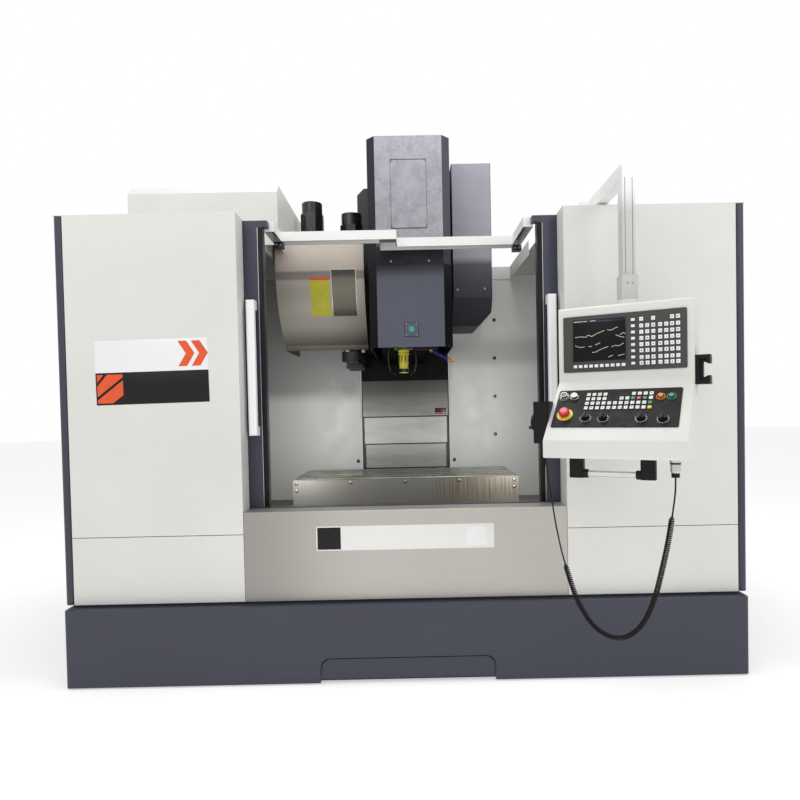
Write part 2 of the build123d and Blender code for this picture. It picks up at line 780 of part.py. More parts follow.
holder_reach = 132.0
holder_radius = 28.0
holder_flange_radius = 31.5
holder_flange_height = 27.0
holder_groove_height = 9.0
holder_groove_depth = 4.5
holder_nut_height = 52.0
holder_nut_radius = 25.0
collet_radius = 10.0
flange_gap = 1.6
plug_length = 58.0
plug_radius = taper_radius - seat_gap
plug_small_radius = plug_radius - plug_length * taper_share
holder_bottom = nose_height - holder_reach
flange_top = nose_height - flange_gap
flange_bottom = flange_top - holder_flange_height
groove_mid = (flange_top + flange_bottom) / 2
with BuildPart() as tool_holder:
    with BuildSketch(Plane.XZ.offset(-at(spindle_depth))):
        with BuildLine():
            Polyline(
                (0, nose_height + plug_length),
                (plug_small_radius, nose_height + plug_length),
                (plug_radius, nose_height),
                (plug_radius, flange_top),
                (holder_flange_radius, flange_top),
                (holder_flange_radius, groove_mid + holder_groove_height / 2),
                (holder_flange_radius - holder_groove_depth, groove_mid),
                (holder_flange_radius, groove_mid - holder_groove_height / 2),
                (holder_flange_radius, flange_bottom),
                (holder_radius, flange_bottom),
                (holder_radius, holder_bottom + holder_nut_height),
                (holder_nut_radius, holder_bottom + holder_nut_height),
                (holder_nut_radius, holder_bottom),
                (collet_radius, holder_bottom),
                (0, holder_bottom + collet_radius),
                close=True,
            )
        make_face()
    revolve(axis=Axis((0, at(spindle_depth), 0), (0, 0, 1)))
save(tool_holder, "tool_holder")

# Head covers: an open lower shroud and a closed motor cover with an access plate
cover_left_x = -174.0
cover_right_x = 265.0
cover_slope = 44.0
cover_front_depth = 560.0
cover_bottom = 1509.0
cover_split = 1941.0
motor_cover_top = 2606.0
motor_cover_inset = 2.0
motor_cover_rear_gap = 85.0
access_half = 92.0
access_bottom = 2130.0
access_top = 2480.0
access_radius = 20.0
access_raise = 3.0
button_x = 47.0
button_z = 1601.0
button_radius = 11.0
button_travel = 4.0
button_stand = 8.0
button_plate = 70.0
button_plate_raise = 4.0
button_tail = 20.0
motor_cover_rear_depth = carriage_front_depth - motor_cover_rear_gap
cover_mid_x = (cover_left_x + cover_right_x) / 2
button_fit = button_radius + seat_gap


def shroud_outline(inset, rear_depth):
    """Plan of a head cover: flat front, sloped front corners."""
    return [
        (cover_left_x + inset, rear_depth),
        (cover_left_x + inset, cover_front_depth + cover_slope),
        (cover_left_x + cover_slope, cover_front_depth + inset),
        (cover_right_x - cover_slope, cover_front_depth + inset),
        (cover_right_x - inset, cover_front_depth + cover_slope),
        (cover_right_x - inset, rear_depth),
    ]


with BuildPart() as head_lower_cover:
    plan_prism(shroud_outline(0, carriage_front_depth), (cover_bottom, cover_split))
    open_faces = [
        head_lower_cover.faces().sort_by(Axis.Z)[0],
        head_lower_cover.faces().sort_by(Axis.Z)[-1],
        head_lower_cover.faces().sort_by(Axis.Y)[-1],
    ]
    offset(amount=-sheet, openings=open_faces)
    block((button_x - button_plate / 2, button_x + button_plate / 2),
          (cover_front_depth - button_plate_raise, cover_front_depth),
          (button_z - button_plate / 2, button_z + button_plate / 2))
    with BuildSketch(Plane.XZ.offset(-at(cover_front_depth - button_plate_raise - cut_over))):
        with Locations((button_x, button_z)):
            Circle(button_fit)
    extrude(amount=-(button_plate_raise + sheet + 2 * cut_over), mode=Mode.SUBTRACT)
save(head_lower_cover, "head_lower_cover")

button_front_depth = cover_front_depth - button_plate_raise - button_stand
with BuildPart() as tool_release_button:
    with BuildSketch(Plane.XZ.offset(-at(button_front_depth))):
        with Locations((button_x, button_z)):
            Circle(button_radius)
    extrude(amount=-(button_stand + button_tail))
    fillet(tool_release_button.edges().group_by(Axis.Y)[0], radius=button_travel / 2)
save(tool_release_button, "tool_release_button")

with BuildPart() as head_motor_cover:
    plan_prism(shroud_outline(motor_cover_inset, motor_cover_rear_depth), (cover_split, motor_cover_top))
    offset(amount=-sheet, openings=head_motor_cover.faces().sort_by(Axis.Z)[0])
    access_front = cover_front_depth + motor_cover_inset - access_raise
    with BuildSketch(Plane.XZ.offset(-at(access_front))):
        with Locations((cover_mid_x, (access_bottom + access_top) / 2)):
            RectangleRounded(2 * access_half, access_top - access_bottom, access_radius)
    extrude(amount=-access_raise)
    # Bearing flange that closes the bottom behind the shroud
    block((cover_left_x + motor_cover_inset, cover_right_x - motor_cover_inset),
          (motor_cover_rear_depth - cover_slope, motor_cover_rear_depth), (cover_split, cover_split + sheet))
save(head_motor_cover, "head_motor_cover")

# Telescopic Z covers: three sliding sections and a fixed one, nested front to back
z_cover_front_depth = 1390.0
z_cover_rear_depth = 1412.0
z_sheet = 2.5
z_section_pitch = z_sheet + seat_gap
z_upper_width = 558.0
z_second_width = 540.0
z_third_width = 526.0
z_fixed_width = 512.0
z_upper_height = 232.0
z_section_height = 252.0
z_second_bottom = 959.0
z_third_bottom = 800.0
z_sections = {
    "z_cover_upper": (z_upper_width, carriage_bottom - z_upper_height, carriage_bottom),
    "z_cover_second": (z_second_width, z_second_bottom, z_second_bottom + z_section_height),
    "z_cover_third": (z_third_width, z_third_bottom, z_third_bottom + z_section_height),
    "z_cover_fixed": (z_fixed_width, bed_top, bed_top + z_section_height),
}
for order, (section_name, (width, low, high)) in enumerate(z_sections.items()):
    section_depth = z_cover_front_depth + order * z_section_pitch
    half_section = width / 2
    with BuildPart() as z_cover:
        plan_prism(
            [
                (-half_section, section_depth),
                (half_section, section_depth),
                (half_section, z_cover_rear_depth),
                (half_section - z_sheet, z_cover_rear_depth),
                (half_section - z_sheet, section_depth + z_sheet),
                (-half_section + z_sheet, section_depth + z_sheet),
                (-half_section + z_sheet, z_cover_rear_depth),
                (-half_section, z_cover_rear_depth),
            ],
            (low, high),
        )
    save(z_cover, section_name)

# Tool magazine cover: a rolled sheet about a cross axis, open below and behind
drum_left_x = -688.0
drum_right_x = -206.0
drum_axis_depth = 1190.0
drum_axis_z = 1992.0
drum_radius = 490.0
drum_top = 2045.0
drum_bottom = 1537.0
drum_edge_depth = 950.0
drum_rear_gap = 40.0
drum_rear_depth = wall_depth - drum_rear_gap
drum_front_top = drum_axis_depth - math.sqrt(drum_radius ** 2 - (drum_top - drum_axis_z) ** 2)
drum_edge_z = drum_axis_z - math.sqrt(drum_radius ** 2 - (drum_axis_depth - drum_edge_depth) ** 2)
drum_mid_drop = drum_radius * math.sin(math.radians(45))
with BuildPart() as magazine_cover:
    with BuildSketch(Plane.YZ.offset(drum_left_x)):
        with BuildLine():
            arc_top = (at(drum_front_top), drum_top)
            arc_mid = (at(drum_axis_depth - drum_mid_drop), drum_axis_z - drum_mid_drop)
            arc_end = (at(drum_edge_depth), drum_edge_z)
            ThreePointArc(arc_top, arc_mid, arc_end)
            Polyline(
                arc_end,
                (at(drum_edge_depth), drum_bottom),
                (at(drum_rear_depth), drum_bottom),
                (at(drum_rear_depth), drum_top),
                arc_top,
            )
        make_face()
    extrude(amount=drum_right_x - drum_left_x)
    drum_open = [magazine_cover.faces().sort_by(Axis.Z)[0], magazine_cover.faces().sort_by(Axis.Y)[-1]]
    offset(amount=-sheet, openings=drum_open)
save(magazine_cover, "magazine_cover")

# Changer frame: axle plate, rear beam and the cam gearbox in one casting
frame_plate = 20.0
frame_beam_bottom = 1700.0
frame_beam_top = 1980.0
gearbox_left_x = -380.0
gearbox_front_depth = 958.0
frame_beam_depth = 48.0
gearbox_bottom = 1545.0
gearbox_top = 1760.0
gearbox_radius = 18.0
frame_clear_x = -295.0
axle_radius = 30.0
disc_rear_reach = 292.0
disc_z = 1795.0
disc_hub_left_x = -640.0
disc_left_x = -560.0
disc_right_x = -545.0
gearbox_rear_depth = wall_depth - frame_beam_depth
disc_depth = gearbox_rear_depth - disc_rear_reach
frame_left_x = drum_left_x + sheet
frame_plate_x = frame_left_x + frame_plate
gearbox_right_x = drum_right_x - sheet
with BuildPart() as changer_frame:
    block((gearbox_left_x, gearbox_right_x), (gearbox_front_depth, gearbox_rear_depth), (gearbox_bottom, gearbox_top))
    fillet(changer_frame.edges().filter_by(Axis.Y), radius=gearbox_radius)
    block((frame_left_x, frame_clear_x), (gearbox_rear_depth, wall_depth), (frame_beam_bottom, frame_beam_top))
    block((frame_left_x, frame_plate_x), (disc_depth - axle_radius, gearbox_rear_depth), (frame_beam_bottom, frame_beam_top))
    with BuildSketch(Plane.YZ.offset(frame_left_x)):
        with Locations((at(disc_depth), disc_z)):
            Circle(axle_radius)
    extrude(amount=disc_right_x - frame_left_x)
save(changer_frame, "changer_frame")

# Magazine disc with its ring of tool pots
pot_count = 16
pot_ring_radius = 195.0
pot_radius = 35.0
pot_bore_radius = 22.5
pot_length = 140.0
disc_radius = 214.0
hub_radius = 62.0
axle_fit = axle_radius + seat_gap
with BuildPart() as magazine_disc:
    disc_plane = Plane.YZ.offset(disc_left_x)
    with BuildSketch(disc_plane):
        with Locations((at(disc_depth), disc_z)):
            Circle(disc_radius)
    extrude(amount=disc_right_x - disc_left_x)
    with BuildSketch(Plane.YZ.offset(disc_hub_left_x)):
        with Locations((at(disc_depth), disc_z)):
            Circle(hub_radius)
    extrude(amount=disc_left_x - disc_hub_left_x)
    with BuildSketch(Plane.YZ.offset(disc_hub_left_x)):
        with Locations((at(disc_depth), disc_z)):
            Circle(axle_fit)
    extrude(amount=disc_right_x - disc_hub_left_x, mode=Mode.SUBTRACT)
    with BuildSketch(Plane.YZ.offset(disc_right_x)):
        with Locations((at(disc_depth), disc_z)):
            with PolarLocations(pot_ring_radius, pot_count):
                Circle(pot_radius)
    extrude(amount=pot_length)
    with BuildSketch(Plane.YZ.offset(disc_right_x + pot_length)):
        with Locations((at(disc_depth), disc_z)):
            with PolarLocations(pot_ring_radius, pot_count):
                Circle(pot_bore_radius)
    extrude(amount=-pot_length, mode=Mode.SUBTRACT)
save(magazine_disc, "magazine_disc")

# Exchange arm: hub, double arm and two hooked jaws
exchange_x = -284.0
exchange_depth = 1000.0
hub_bottom = 1436.0
arm_hub_radius = 52.0
arm_shaft_radius = 32.0
arm_bottom = 1446.0
arm_height = 52.0
arm_half_width = 34.0
jaw_radius = 48.0
jaw_fit_radius = 33.5
jaw_relief = 8.0
arm_block_width = 92.0
arm_block_length = 70.0
arm_block_height = 22.0
arm_block_offset = 96.0
arm_reach = math.hypot(exchange_x, exchange_depth - spindle_depth)
arm_top = arm_bottom + arm_height
with BuildPart() as exchange_arm:
    with BuildSketch(Plane.XY.offset(arm_bottom)):
        with Locations((exchange_x, at(exchange_depth))):
            Rectangle(2 * arm_half_width, 2 * arm_reach)
            Circle(arm_hub_radius)
        for end in (-1, 1):
            with Locations((exchange_x, at(exchange_depth + end * arm_reach))):
                Circle(jaw_radius)
        for end in (-1, 1):
            jaw_y = at(exchange_depth + end * arm_reach)
            slot_side = -end * jaw_radius / 2
            with Locations((exchange_x, jaw_y)):
                Circle(jaw_fit_radius, mode=Mode.SUBTRACT)
            with Locations((exchange_x + slot_side, jaw_y - end * jaw_relief / 2)):
                Rectangle(jaw_radius, 2 * jaw_fit_radius + jaw_relief, mode=Mode.SUBTRACT)
    extrude(amount=arm_height)
    with BuildSketch(Plane.XY.offset(hub_bottom)):
        with Locations((exchange_x, at(exchange_depth))):
            Circle(arm_hub_radius)
    extrude(amount=arm_bottom - hub_bottom)
    with BuildSketch(Plane.XY.offset(arm_top)):
        with Locations((exchange_x, at(exchange_depth))):
            Circle(arm_shaft_radius)
    extrude(amount=gearbox_bottom - run_clearance - arm_top)
    # Jaw lock blocks on the underside of both arm halves
    for end in (-1, 1):
        with Locations((exchange_x, at(exchange_depth + end * arm_block_offset), arm_bottom - arm_block_height / 2)):
            Box(arm_block_width, arm_block_length, arm_block_height)
save(exchange_arm, "exchange_arm")

# Two upright drive motors on the magazine cover
motor_radius = 66.0
motor_sides = 8
motor_depth = 1100.0
motor_base_half = 80.0
motor_base_height = 18.0
motor_cap_height = 70.0
motor_cap_inset = 5.0
motor_tops = ((-538.0, 2436.0), (-301.0, 2364.0))
motor_foot_z = drum_top + motor_base_height
with BuildPart() as drive_motors:
    for motor_x, motor_top in motor_tops:
        motor_center = (motor_x, at(motor_depth))
        with BuildSketch(Plane.XY.offset(drum_top)):
            with Locations(motor_center):
                Rectangle(2 * motor_base_half, 2 * motor_base_half)
        extrude(amount=motor_base_height)
        with BuildSketch(Plane.XY.offset(motor_foot_z)):
            with Locations(motor_center):
                RegularPolygon(motor_radius, motor_sides, major_radius=False, rotation=360 / motor_sides / 2)
        extrude(amount=motor_top - motor_cap_height - motor_foot_z)
        with BuildSketch(Plane.XY.offset(motor_top - motor_cap_height)):
            with Locations(motor_center):
                Circle(motor_radius - motor_cap_inset)
        extrude(amount=motor_cap_height)
    fillet(drive_motors.edges().filter_by(GeomType.CIRCLE).group_by(Axis.Z)[-1], radius=motor_cap_inset)
save(drive_motors, "drive_motors")

# Fixed cover on the right of the column, sloped below
tower_left_x = 292.0
tower_right_x = 519.0
tower_front_depth = 900.0
tower_rear_depth = wall_depth - sheet
tower_bottom = 1671.0
tower_top = 2584.0
tower_slope_height = 150.0
tower_slope_depth = 120.0
tower_corner = 70.0
tower_edge_radius = 6.0
with BuildPart() as column_side_cover:
    side_prism(
        [
            (tower_front_depth, tower_top),
            (tower_rear_depth, tower_top),
            (tower_rear_depth, tower_bottom),
            (tower_front_depth + tower_slope_depth, tower_bottom),
            (tower_front_depth, tower_bottom + tower_slope_height),
        ],
        (tower_left_x, tower_right_x),
    )
    front_prism(
        [
            (tower_right_x + cut_over, tower_bottom - cut_over),
            (tower_right_x + cut_over, tower_bottom + tower_corner + cut_over),
            (tower_right_x - tower_corner - cut_over, tower_bottom - cut_over),
        ],
        (tower_front_depth - cut_over, tower_rear_depth + cut_over),
        Mode.SUBTRACT,
    )
    tower_front_edges = column_side_cover.faces().sort_by(Axis.Y)[0].edges().filter_by(Axis.Z)
    fillet(tower_front_edges, radius=tower_edge_radius)
save(column_side_cover, "column_side_cover")

# Coolant hose: manifold and a straight run of ball segments that ends in a nozzle
manifold_left_x = 70.0
manifold_right_x = 190.0
manifold_depth = 750.0
manifold_half = 26.0
manifold_height = 26.0
bead_radius = 11.0
bead_count = 6
bead_neck_radius = 7.0
bead_pitch = 18.0
hose_start_x = 152.0
hose_fall = 29.0
nozzle_length = 34.0
nozzle_tip_radius = 4.5
manifold_bottom = head_bottom - manifold_height
bead_run = bead_count * bead_pitch
hose_length = bead_run + nozzle_length
hose_angle = math.radians(hose_fall)
hose_dir = Vector(math.cos(hose_angle), 0, -math.sin(hose_angle))
hose_start = Vector(hose_start_x, at(manifold_depth), manifold_bottom)
with BuildPart() as coolant_hose:
    block((manifold_left_x, manifold_right_x),
          (manifold_depth - manifold_half, manifold_depth + manifold_half), (manifold_bottom, head_bottom))
    with BuildSketch(Plane(origin=hose_start, x_dir=hose_dir, z_dir=(0, -1, 0))):
        with BuildLine():
            for index in range(bead_count):
                ball_start = index * bead_pitch
                ThreePointArc(
                    (ball_start, bead_neck_radius),
                    (ball_start + bead_pitch / 2, bead_radius),
                    (ball_start + bead_pitch, bead_neck_radius),
                )
            Polyline(
                (bead_run, bead_neck_radius),
                (hose_length, nozzle_tip_radius),
                (hose_length, 0),
                (0, 0),
                (0, bead_neck_radius),
            )
        make_face()
    revolve(axis=Axis(hose_start, hose_dir))
save(coolant_hose, "coolant_hose")

# Swing arm on the roof boss, with the drop tube and coupling that carry the pendant
arm_tube = 50.0
arm_wall = 4.0
arm_hub_outer = 52.0
pin_cap = 8.0
pendant_top = 1569.0
swivel_height = 22.0
swivel_radius = 44.0
coupling_width = 64.0
coupling_height = 96.0
elbow_radius = 22.0
arm_low = panel_top + boss_height + run_clearance
arm_high = arm_low + arm_tube
coupling_bottom = pendant_top + swivel_height + run_clearance
coupling_top = coupling_bottom + coupling_height
tube_half = arm_tube / 2
pin_fit = boss_pin_radius + seat_gap
with BuildPart() as swing_arm:
    elbow_front = tube_depth - tube_half
    side_prism(
        [
            (elbow_front, coupling_top),
            (elbow_front, arm_high),
            (arm_pivot_depth, arm_high),
            (arm_pivot_depth, arm_low),
            (tube_depth + tube_half, arm_low),
            (tube_depth + tube_half, coupling_top),
        ],
        (tube_x - tube_half, tube_x + tube_half),
    )
    fillet(swing_arm.edges().filter_by(Axis.X).group_by(Axis.Y)[0].sort_by(Axis.Z)[-1:], radius=elbow_radius)
    with BuildSketch(Plane.XY.offset(arm_low)):
        with Locations((arm_pivot_x, at(arm_pivot_depth))):
            Circle(arm_hub_outer)
    extrude(amount=arm_tube + pin_cap)
    with BuildSketch(Plane.XY.offset(arm_low)):
        with Locations((arm_pivot_x, at(arm_pivot_depth))):
            Circle(pin_fit)
    extrude(amount=boss_pin_height + run_clearance, mode=Mode.SUBTRACT)
    with BuildSketch(Plane.XY.offset(coupling_bottom)):
        with Locations((tube_x, at(tube_depth))):
            RectangleRounded(coupling_width, coupling_width, arm_wall)
    extrude(amount=coupling_height)
save(swing_arm, "swing_arm")

# Pendant planes: across its side, on the screen face and on the keyboard slope
fold_z = 1279.0
lip_top = 1061.0
lip_bottom = 996.0
belly_v = 30.0
belly_rear_z = 1190.0
pendant_radius = 10.0
face_dir = (yaw_cos, -yaw_sin, 0)
front_dir = (-yaw_sin, -yaw_cos, 0)
slope_drop = fold_z - lip_top
slope_length = math.hypot(pendant_reach, slope_drop)
slope_normal = (
    front_dir[0] * slope_drop / slope_length,
    front_dir[1] * slope_drop / slope_length,
    pendant_reach / slope_length,
)


def on_pendant(across, out, z):
    """Point at a distance across the pendant, out from its screen face, and at a height."""
    x = pendant_x + across * yaw_cos - out * yaw_sin
    depth = pendant_depth - across * yaw_sin - out * yaw_cos
    return (x, at(depth), z)


side_plane = Plane(
    origin=on_pendant(pendant_width / 2, 0, 0), x_dir=front_dir, z_dir=(-yaw_cos, yaw_sin, 0)
)
face_plane = Plane(origin=on_pendant(0, 0, 0), x_dir=face_dir, z_dir=front_dir)
slope_plane = Plane(origin=on_pendant(0, 0, fold_z), x_dir=face_dir, z_dir=slope_normal)

# Places of the controls on the slope: across, and down from the fold
panel_plate = 4.0
stem_hole_depth = 26.0
stop_place = (-188.0, -184.0)
hold_place = (143.0, -99.0)
start_place = (179.0, -100.0)
knob_places = {
    "mode_knob": (-109.0, -201.0),
    "feed_knob": (-45.0, -202.0),
    "rapid_knob": (87.0, -204.0),
    "spindle_knob": (160.0, -208.0),
}
stop_stem_radius = 10.0
push_radius = 9.0
stem_holes = ((stop_place, stop_stem_radius), (hold_place, push_radius), (start_place, push_radius))

with BuildPart() as pendant_box:
    with BuildSketch(side_plane):
        with BuildLine():
            Polyline(
                (-pendant_body_depth, pendant_top),
                (0, pendant_top),
                (0, fold_z),
                (pendant_reach, lip_top),
                (pendant_reach, lip_bottom),
                (belly_v, lip_bottom),
                (-pendant_body_depth, belly_rear_z),
                close=True,
            )
        make_face()
        rounded_corners = vertices().group_by(Axis.Z)[-1] + vertices().group_by(Axis.Z)[0]
        fillet(rounded_corners, radius=pendant_radius)
    extrude(amount=pendant_width)
    with BuildSketch(Plane.XY.offset(pendant_top)):
        with Locations((tube_x, at(tube_depth))):
            Circle(swivel_radius)
    extrude(amount=swivel_height)
    for place, stem_radius in stem_holes:
        with BuildSketch(slope_plane):
            with Locations(place):
                Circle(stem_radius + seat_gap)
        extrude(amount=-stem_hole_depth, mode=Mode.SUBTRACT)
save(pendant_box, "pendant_box")

# Screen panel: bezel plate, sunk display and raised keys
bezel_left = -227.0
bezel_right = 224.0
bezel_bottom = 1316.0
bezel_top = 1533.0
bezel_radius = 6.0
display_left = -188.0
display_right = 10.0
display_bottom = 1357.0
display_top = 1516.0
display_sink = 2.0
key_raise = 2.5
key_width = 15.0
key_height = 15.0
soft_key_count = 10
soft_key_z = 1338.0
soft_key_left = -180.0
soft_key_right = 2.0
side_key_x = 37.0
side_key_count = 8
letter_columns = (67.0, 88.0, 109.0)
number_columns = (133.0, 154.0, 174.0, 194.0)
key_row_top = 1479.0
key_row_bottom = 1387.0
key_row_count = 5
short_row = 1504.0
low_rows = (1362.0, 1341.0)
key_rows = spread(key_row_top, key_row_bottom, key_row_count)
screen_keys = [(x, soft_key_z) for x in spread(soft_key_left, soft_key_right, soft_key_count)]
screen_keys += [(side_key_x, z) for z in spread(short_row, low_rows[-1], side_key_count)]
screen_keys += [(x, z) for x in letter_columns + number_columns for z in key_rows]
screen_keys += [(x, z) for x in letter_columns + number_columns for z in low_rows]
screen_keys += [(x, short_row) for x in letter_columns[::2] + number_columns[2:]]
with BuildPart() as screen_panel:
    with BuildSketch(face_plane):
        with Locations(((bezel_left + bezel_right) / 2, (bezel_bottom + bezel_top) / 2)):
            RectangleRounded(bezel_right - bezel_left, bezel_top - bezel_bottom, bezel_radius)
    extrude(amount=panel_plate)
    with BuildSketch(face_plane.offset(panel_plate)):
        with Locations(((display_left + display_right) / 2, (display_bottom + display_top) / 2)):
            Rectangle(display_right - display_left, display_top - display_bottom)
    extrude(amount=-display_sink, mode=Mode.SUBTRACT)
    with BuildSketch(face_plane.offset(panel_plate)):
        with Locations(*screen_keys):
            Rectangle(key_width, key_height)
    extrude(amount=key_raise)
save(screen_panel, "screen_panel")

# Operator panel on the slope: plate, key rows, key switch, lamp and stop collar
operator_left = -231.0
operator_right = 213.0
operator_top = -52.0
operator_bottom = -245.0
small_key_width = 15.0
small_key_height = 16.0
small_key_left = -115.0
small_key_right = 110.0
small_key_count = 12
small_rows = (-80.0, -103.0, -127.0, -151.0)
lock_place = (-208.0, -87.0)
lamp_place = (-168.0, -92.0)
lock_radius = 12.0
lock_raise = 14.0
collar_radius = 29.0
collar_raise = 3.0
push_collar_radius = 15.0
small_columns = spread(small_key_left, small_key_right, small_key_count)
blank_keys = {(4, 0), (5, 0), (6, 0), (7, 0), (4, 1), (5, 1)}
small_keys = [
    (x, y)
    for column, x in enumerate(small_columns)
    for row, y in enumerate(small_rows)
    if (column, row) not in blank_keys
]
with BuildPart() as operator_panel:
    with BuildSketch(slope_plane):
        with Locations(((operator_left + operator_right) / 2, (operator_top + operator_bottom) / 2)):
            RectangleRounded(operator_right - operator_left, operator_top - operator_bottom, bezel_radius)
    extrude(amount=panel_plate)
    with BuildSketch(slope_plane.offset(panel_plate)):
        with Locations(*small_keys):
            Rectangle(small_key_width, small_key_height)
    extrude(amount=key_raise)
    with BuildSketch(slope_plane.offset(panel_plate)):
        with Locations(lock_place, lamp_place):
            Circle(lock_radius)
    extrude(amount=lock_raise)
    with BuildSketch(slope_plane.offset(panel_plate)):
        with Locations(stop_place):
            Circle(collar_radius)
        with Locations(hold_place, start_place):
            Circle(push_collar_radius)
    extrude(amount=collar_raise)
    for place, stem_radius in stem_holes:
        with BuildSketch(slope_plane):
            with Locations(place):
                Circle(stem_radius + seat_gap)
        extrude(amount=panel_plate + collar_raise + cut_over, mode=Mode.SUBTRACT)
save(operator_panel, "operator_panel")

# Emergency stop, push buttons and override knobs
stop_radius = 20.0
stop_travel = 6.0
stop_head = 16.0
stop_rise = stop_travel + 2 * run_clearance
push_travel = 4.0
push_rise = 10.0
stem_sink = 12.0
knob_radius = 14.0
knob_height = 17.0
knob_grip = 7.0
knob_grip_height = 6.0
knob_fillet = 2.0
collar_top = panel_plate + collar_raise
with BuildPart() as emergency_stop:
    with BuildSketch(slope_plane.offset(-stem_sink)):
        with Locations(stop_place):
            Circle(stop_stem_radius)
    extrude(amount=stem_sink + collar_top + stop_rise)
    with BuildSketch(slope_plane.offset(collar_top + stop_rise)):
        with Locations(stop_place):
            Circle(stop_radius)
    extrude(amount=stop_head)
    stop_face = emergency_stop.faces().sort_by(Axis(slope_plane.origin, slope_plane.z_dir))[-1]
    fillet(stop_face.edges(), radius=stop_head / 2)
save(emergency_stop, "emergency_stop")

for push_name, push_place in (("hold_button", hold_place), ("start_button", start_place)):
    with BuildPart() as push_button:
        with BuildSketch(slope_plane.offset(-stem_sink)):
            with Locations(push_place):
                Circle(push_radius)
        extrude(amount=stem_sink + collar_top + push_rise)
        push_face = push_button.faces().sort_by(Axis(slope_plane.origin, slope_plane.z_dir))[-1]
        fillet(push_face.edges(), radius=knob_fillet)
    save(push_button, push_name)

for knob_name, knob_place in knob_places.items():
    with BuildPart() as knob:
        with BuildSketch(slope_plane.offset(panel_plate + seat_gap)):
            with Locations(knob_place):
                Circle(knob_radius)
        extrude(amount=knob_height)
        with BuildSketch(slope_plane.offset(panel_plate + seat_gap + knob_height)):
            with Locations(knob_place):
                RectangleRounded(knob_grip, 2 * knob_radius - knob_fillet, knob_fillet)
        extrude(amount=knob_grip_height)
    save(knob, knob_name)

# Grab handle under the lip
grab_left = -145.0
grab_right = 108.0
grab_out = 130.0
grab_end = 52.0
grab_end_out = 40.0
grab_z = 935.0
grab_bar_radius = 10.5
grab_end_bottom = grab_z - grab_bar_radius - cut_over
with BuildPart() as grab_handle:
    for across in (grab_left, grab_right):
        end_plane = Plane(origin=on_pendant(across, grab_out, grab_end_bottom), x_dir=face_dir, z_dir=(0, 0, 1))
        with BuildSketch(end_plane):
            RectangleRounded(grab_end, grab_end_out, grab_bar_radius)
        extrude(amount=lip_bottom - grab_end_bottom)
    with BuildSketch(Plane(origin=on_pendant(grab_left, grab_out, grab_z), z_dir=face_dir)):
        Circle(grab_bar_radius)
    extrude(amount=grab_right - grab_left)
save(grab_handle, "grab_handle")

# Fittings on the pendant: cord socket below the lip and a hook bracket on the right end
cord_out = 120.0
socket_across = 195.0
socket_radius = 14.0
socket_bottom = 930.0
socket_nut = 18.0
socket_nut_height = 20.0
hook_bottom = 1256.0
hook_top = 1362.0
hook_reach = 50.0
hook_bar = 14.0
hook_width = 40.0
hook_out = -60.0
with BuildPart() as pendant_fittings:
    socket_plane = Plane(origin=on_pendant(socket_across, cord_out, socket_bottom))
    with BuildSketch(socket_plane):
        Circle(socket_radius)
    extrude(amount=lip_bottom - socket_bottom)
    with BuildSketch(socket_plane.offset(lip_bottom - socket_bottom - socket_nut_height)):
        Circle(socket_nut)
    extrude(amount=socket_nut_height)
    hook_plane = Plane(origin=on_pendant(pendant_width / 2, hook_out, 0), x_dir=face_dir, z_dir=front_dir)
    with BuildSketch(hook_plane):
        with BuildLine():
            Polyline(
                (0, hook_bottom),
                (hook_reach, hook_bottom),
                (hook_reach, hook_bottom + 2 * hook_bar),
                (hook_reach - hook_bar, hook_bottom + 2 * hook_bar),
                (hook_reach - hook_bar, hook_bottom + hook_bar),
                (hook_bar, hook_bottom + hook_bar),
                (hook_bar, hook_top - hook_bar),
                (hook_reach - hook_bar, hook_top - hook_bar),
                (hook_reach - hook_bar, hook_top - 2 * hook_bar),
                (hook_reach, hook_top - 2 * hook_bar),
                (hook_reach, hook_top),
                (0, hook_top),
                close=True,
            )
        make_face()
    extrude(amount=hook_width, both=True)
save(pendant_fittings, "pendant_fittings")

# Handwheel unit parked on the pendant's left end, with its dial
unit_width = 58.0
unit_out = 84.0
unit_bottom = 1046.0
unit_top = 1205.0
unit_radius = 12.0
dial_radius = 30.0
dial_height = 12.0
crank_radius = 6.0
crank_offset = 20.0
crank_height = 16.0
unit_plane = Plane(
    origin=on_pendant(-pendant_width / 2 - unit_width / 2, cord_out, unit_bottom), x_dir=face_dir, z_dir=(0, 0, 1)
)
dial_z = (unit_bottom + unit_top) / 2
dial_plane = Plane(
    origin=on_pendant(-pendant_width / 2 - unit_width, cord_out, dial_z), z_dir=(-yaw_cos, yaw_sin, 0)
)
with BuildPart() as handwheel_unit:
    with BuildSketch(unit_plane):
        RectangleRounded(unit_width, unit_out, unit_radius)
    extrude(amount=unit_top - unit_bottom)
    with BuildSketch(dial_plane):
        Circle(dial_radius)
    extrude(amount=dial_height)
    with BuildSketch(dial_plane.offset(dial_height)):
        with Locations((0, -crank_offset)):
            Circle(crank_radius)
    extrude(amount=crank_height)
save(handwheel_unit, "handwheel_unit")

# Curly cord from the socket to the handwheel unit: two plain leads and the coil's outer tube
lead_diameter = 6.5
coil_diameter = 22.0
cord_bend_share = 0.45
lead_in_points = [(195, 930), (195, 897), (192, 862), (187.4, 827), (183, 795)]
coil_points = [
    (183, 795), (172, 715), (150, 610), (120, 480), (72, 375), (-5, 322), (-90, 352), (-150, 440), (-182, 530),
    (-199, 588),
]
lead_out_points = [
    (-199, 588), (-211.5, 630.65), (-222, 680), (-233, 735), (-243, 800), (-253, 870), (-263, 932), (-270, 990),
    (-270, 1046),
]


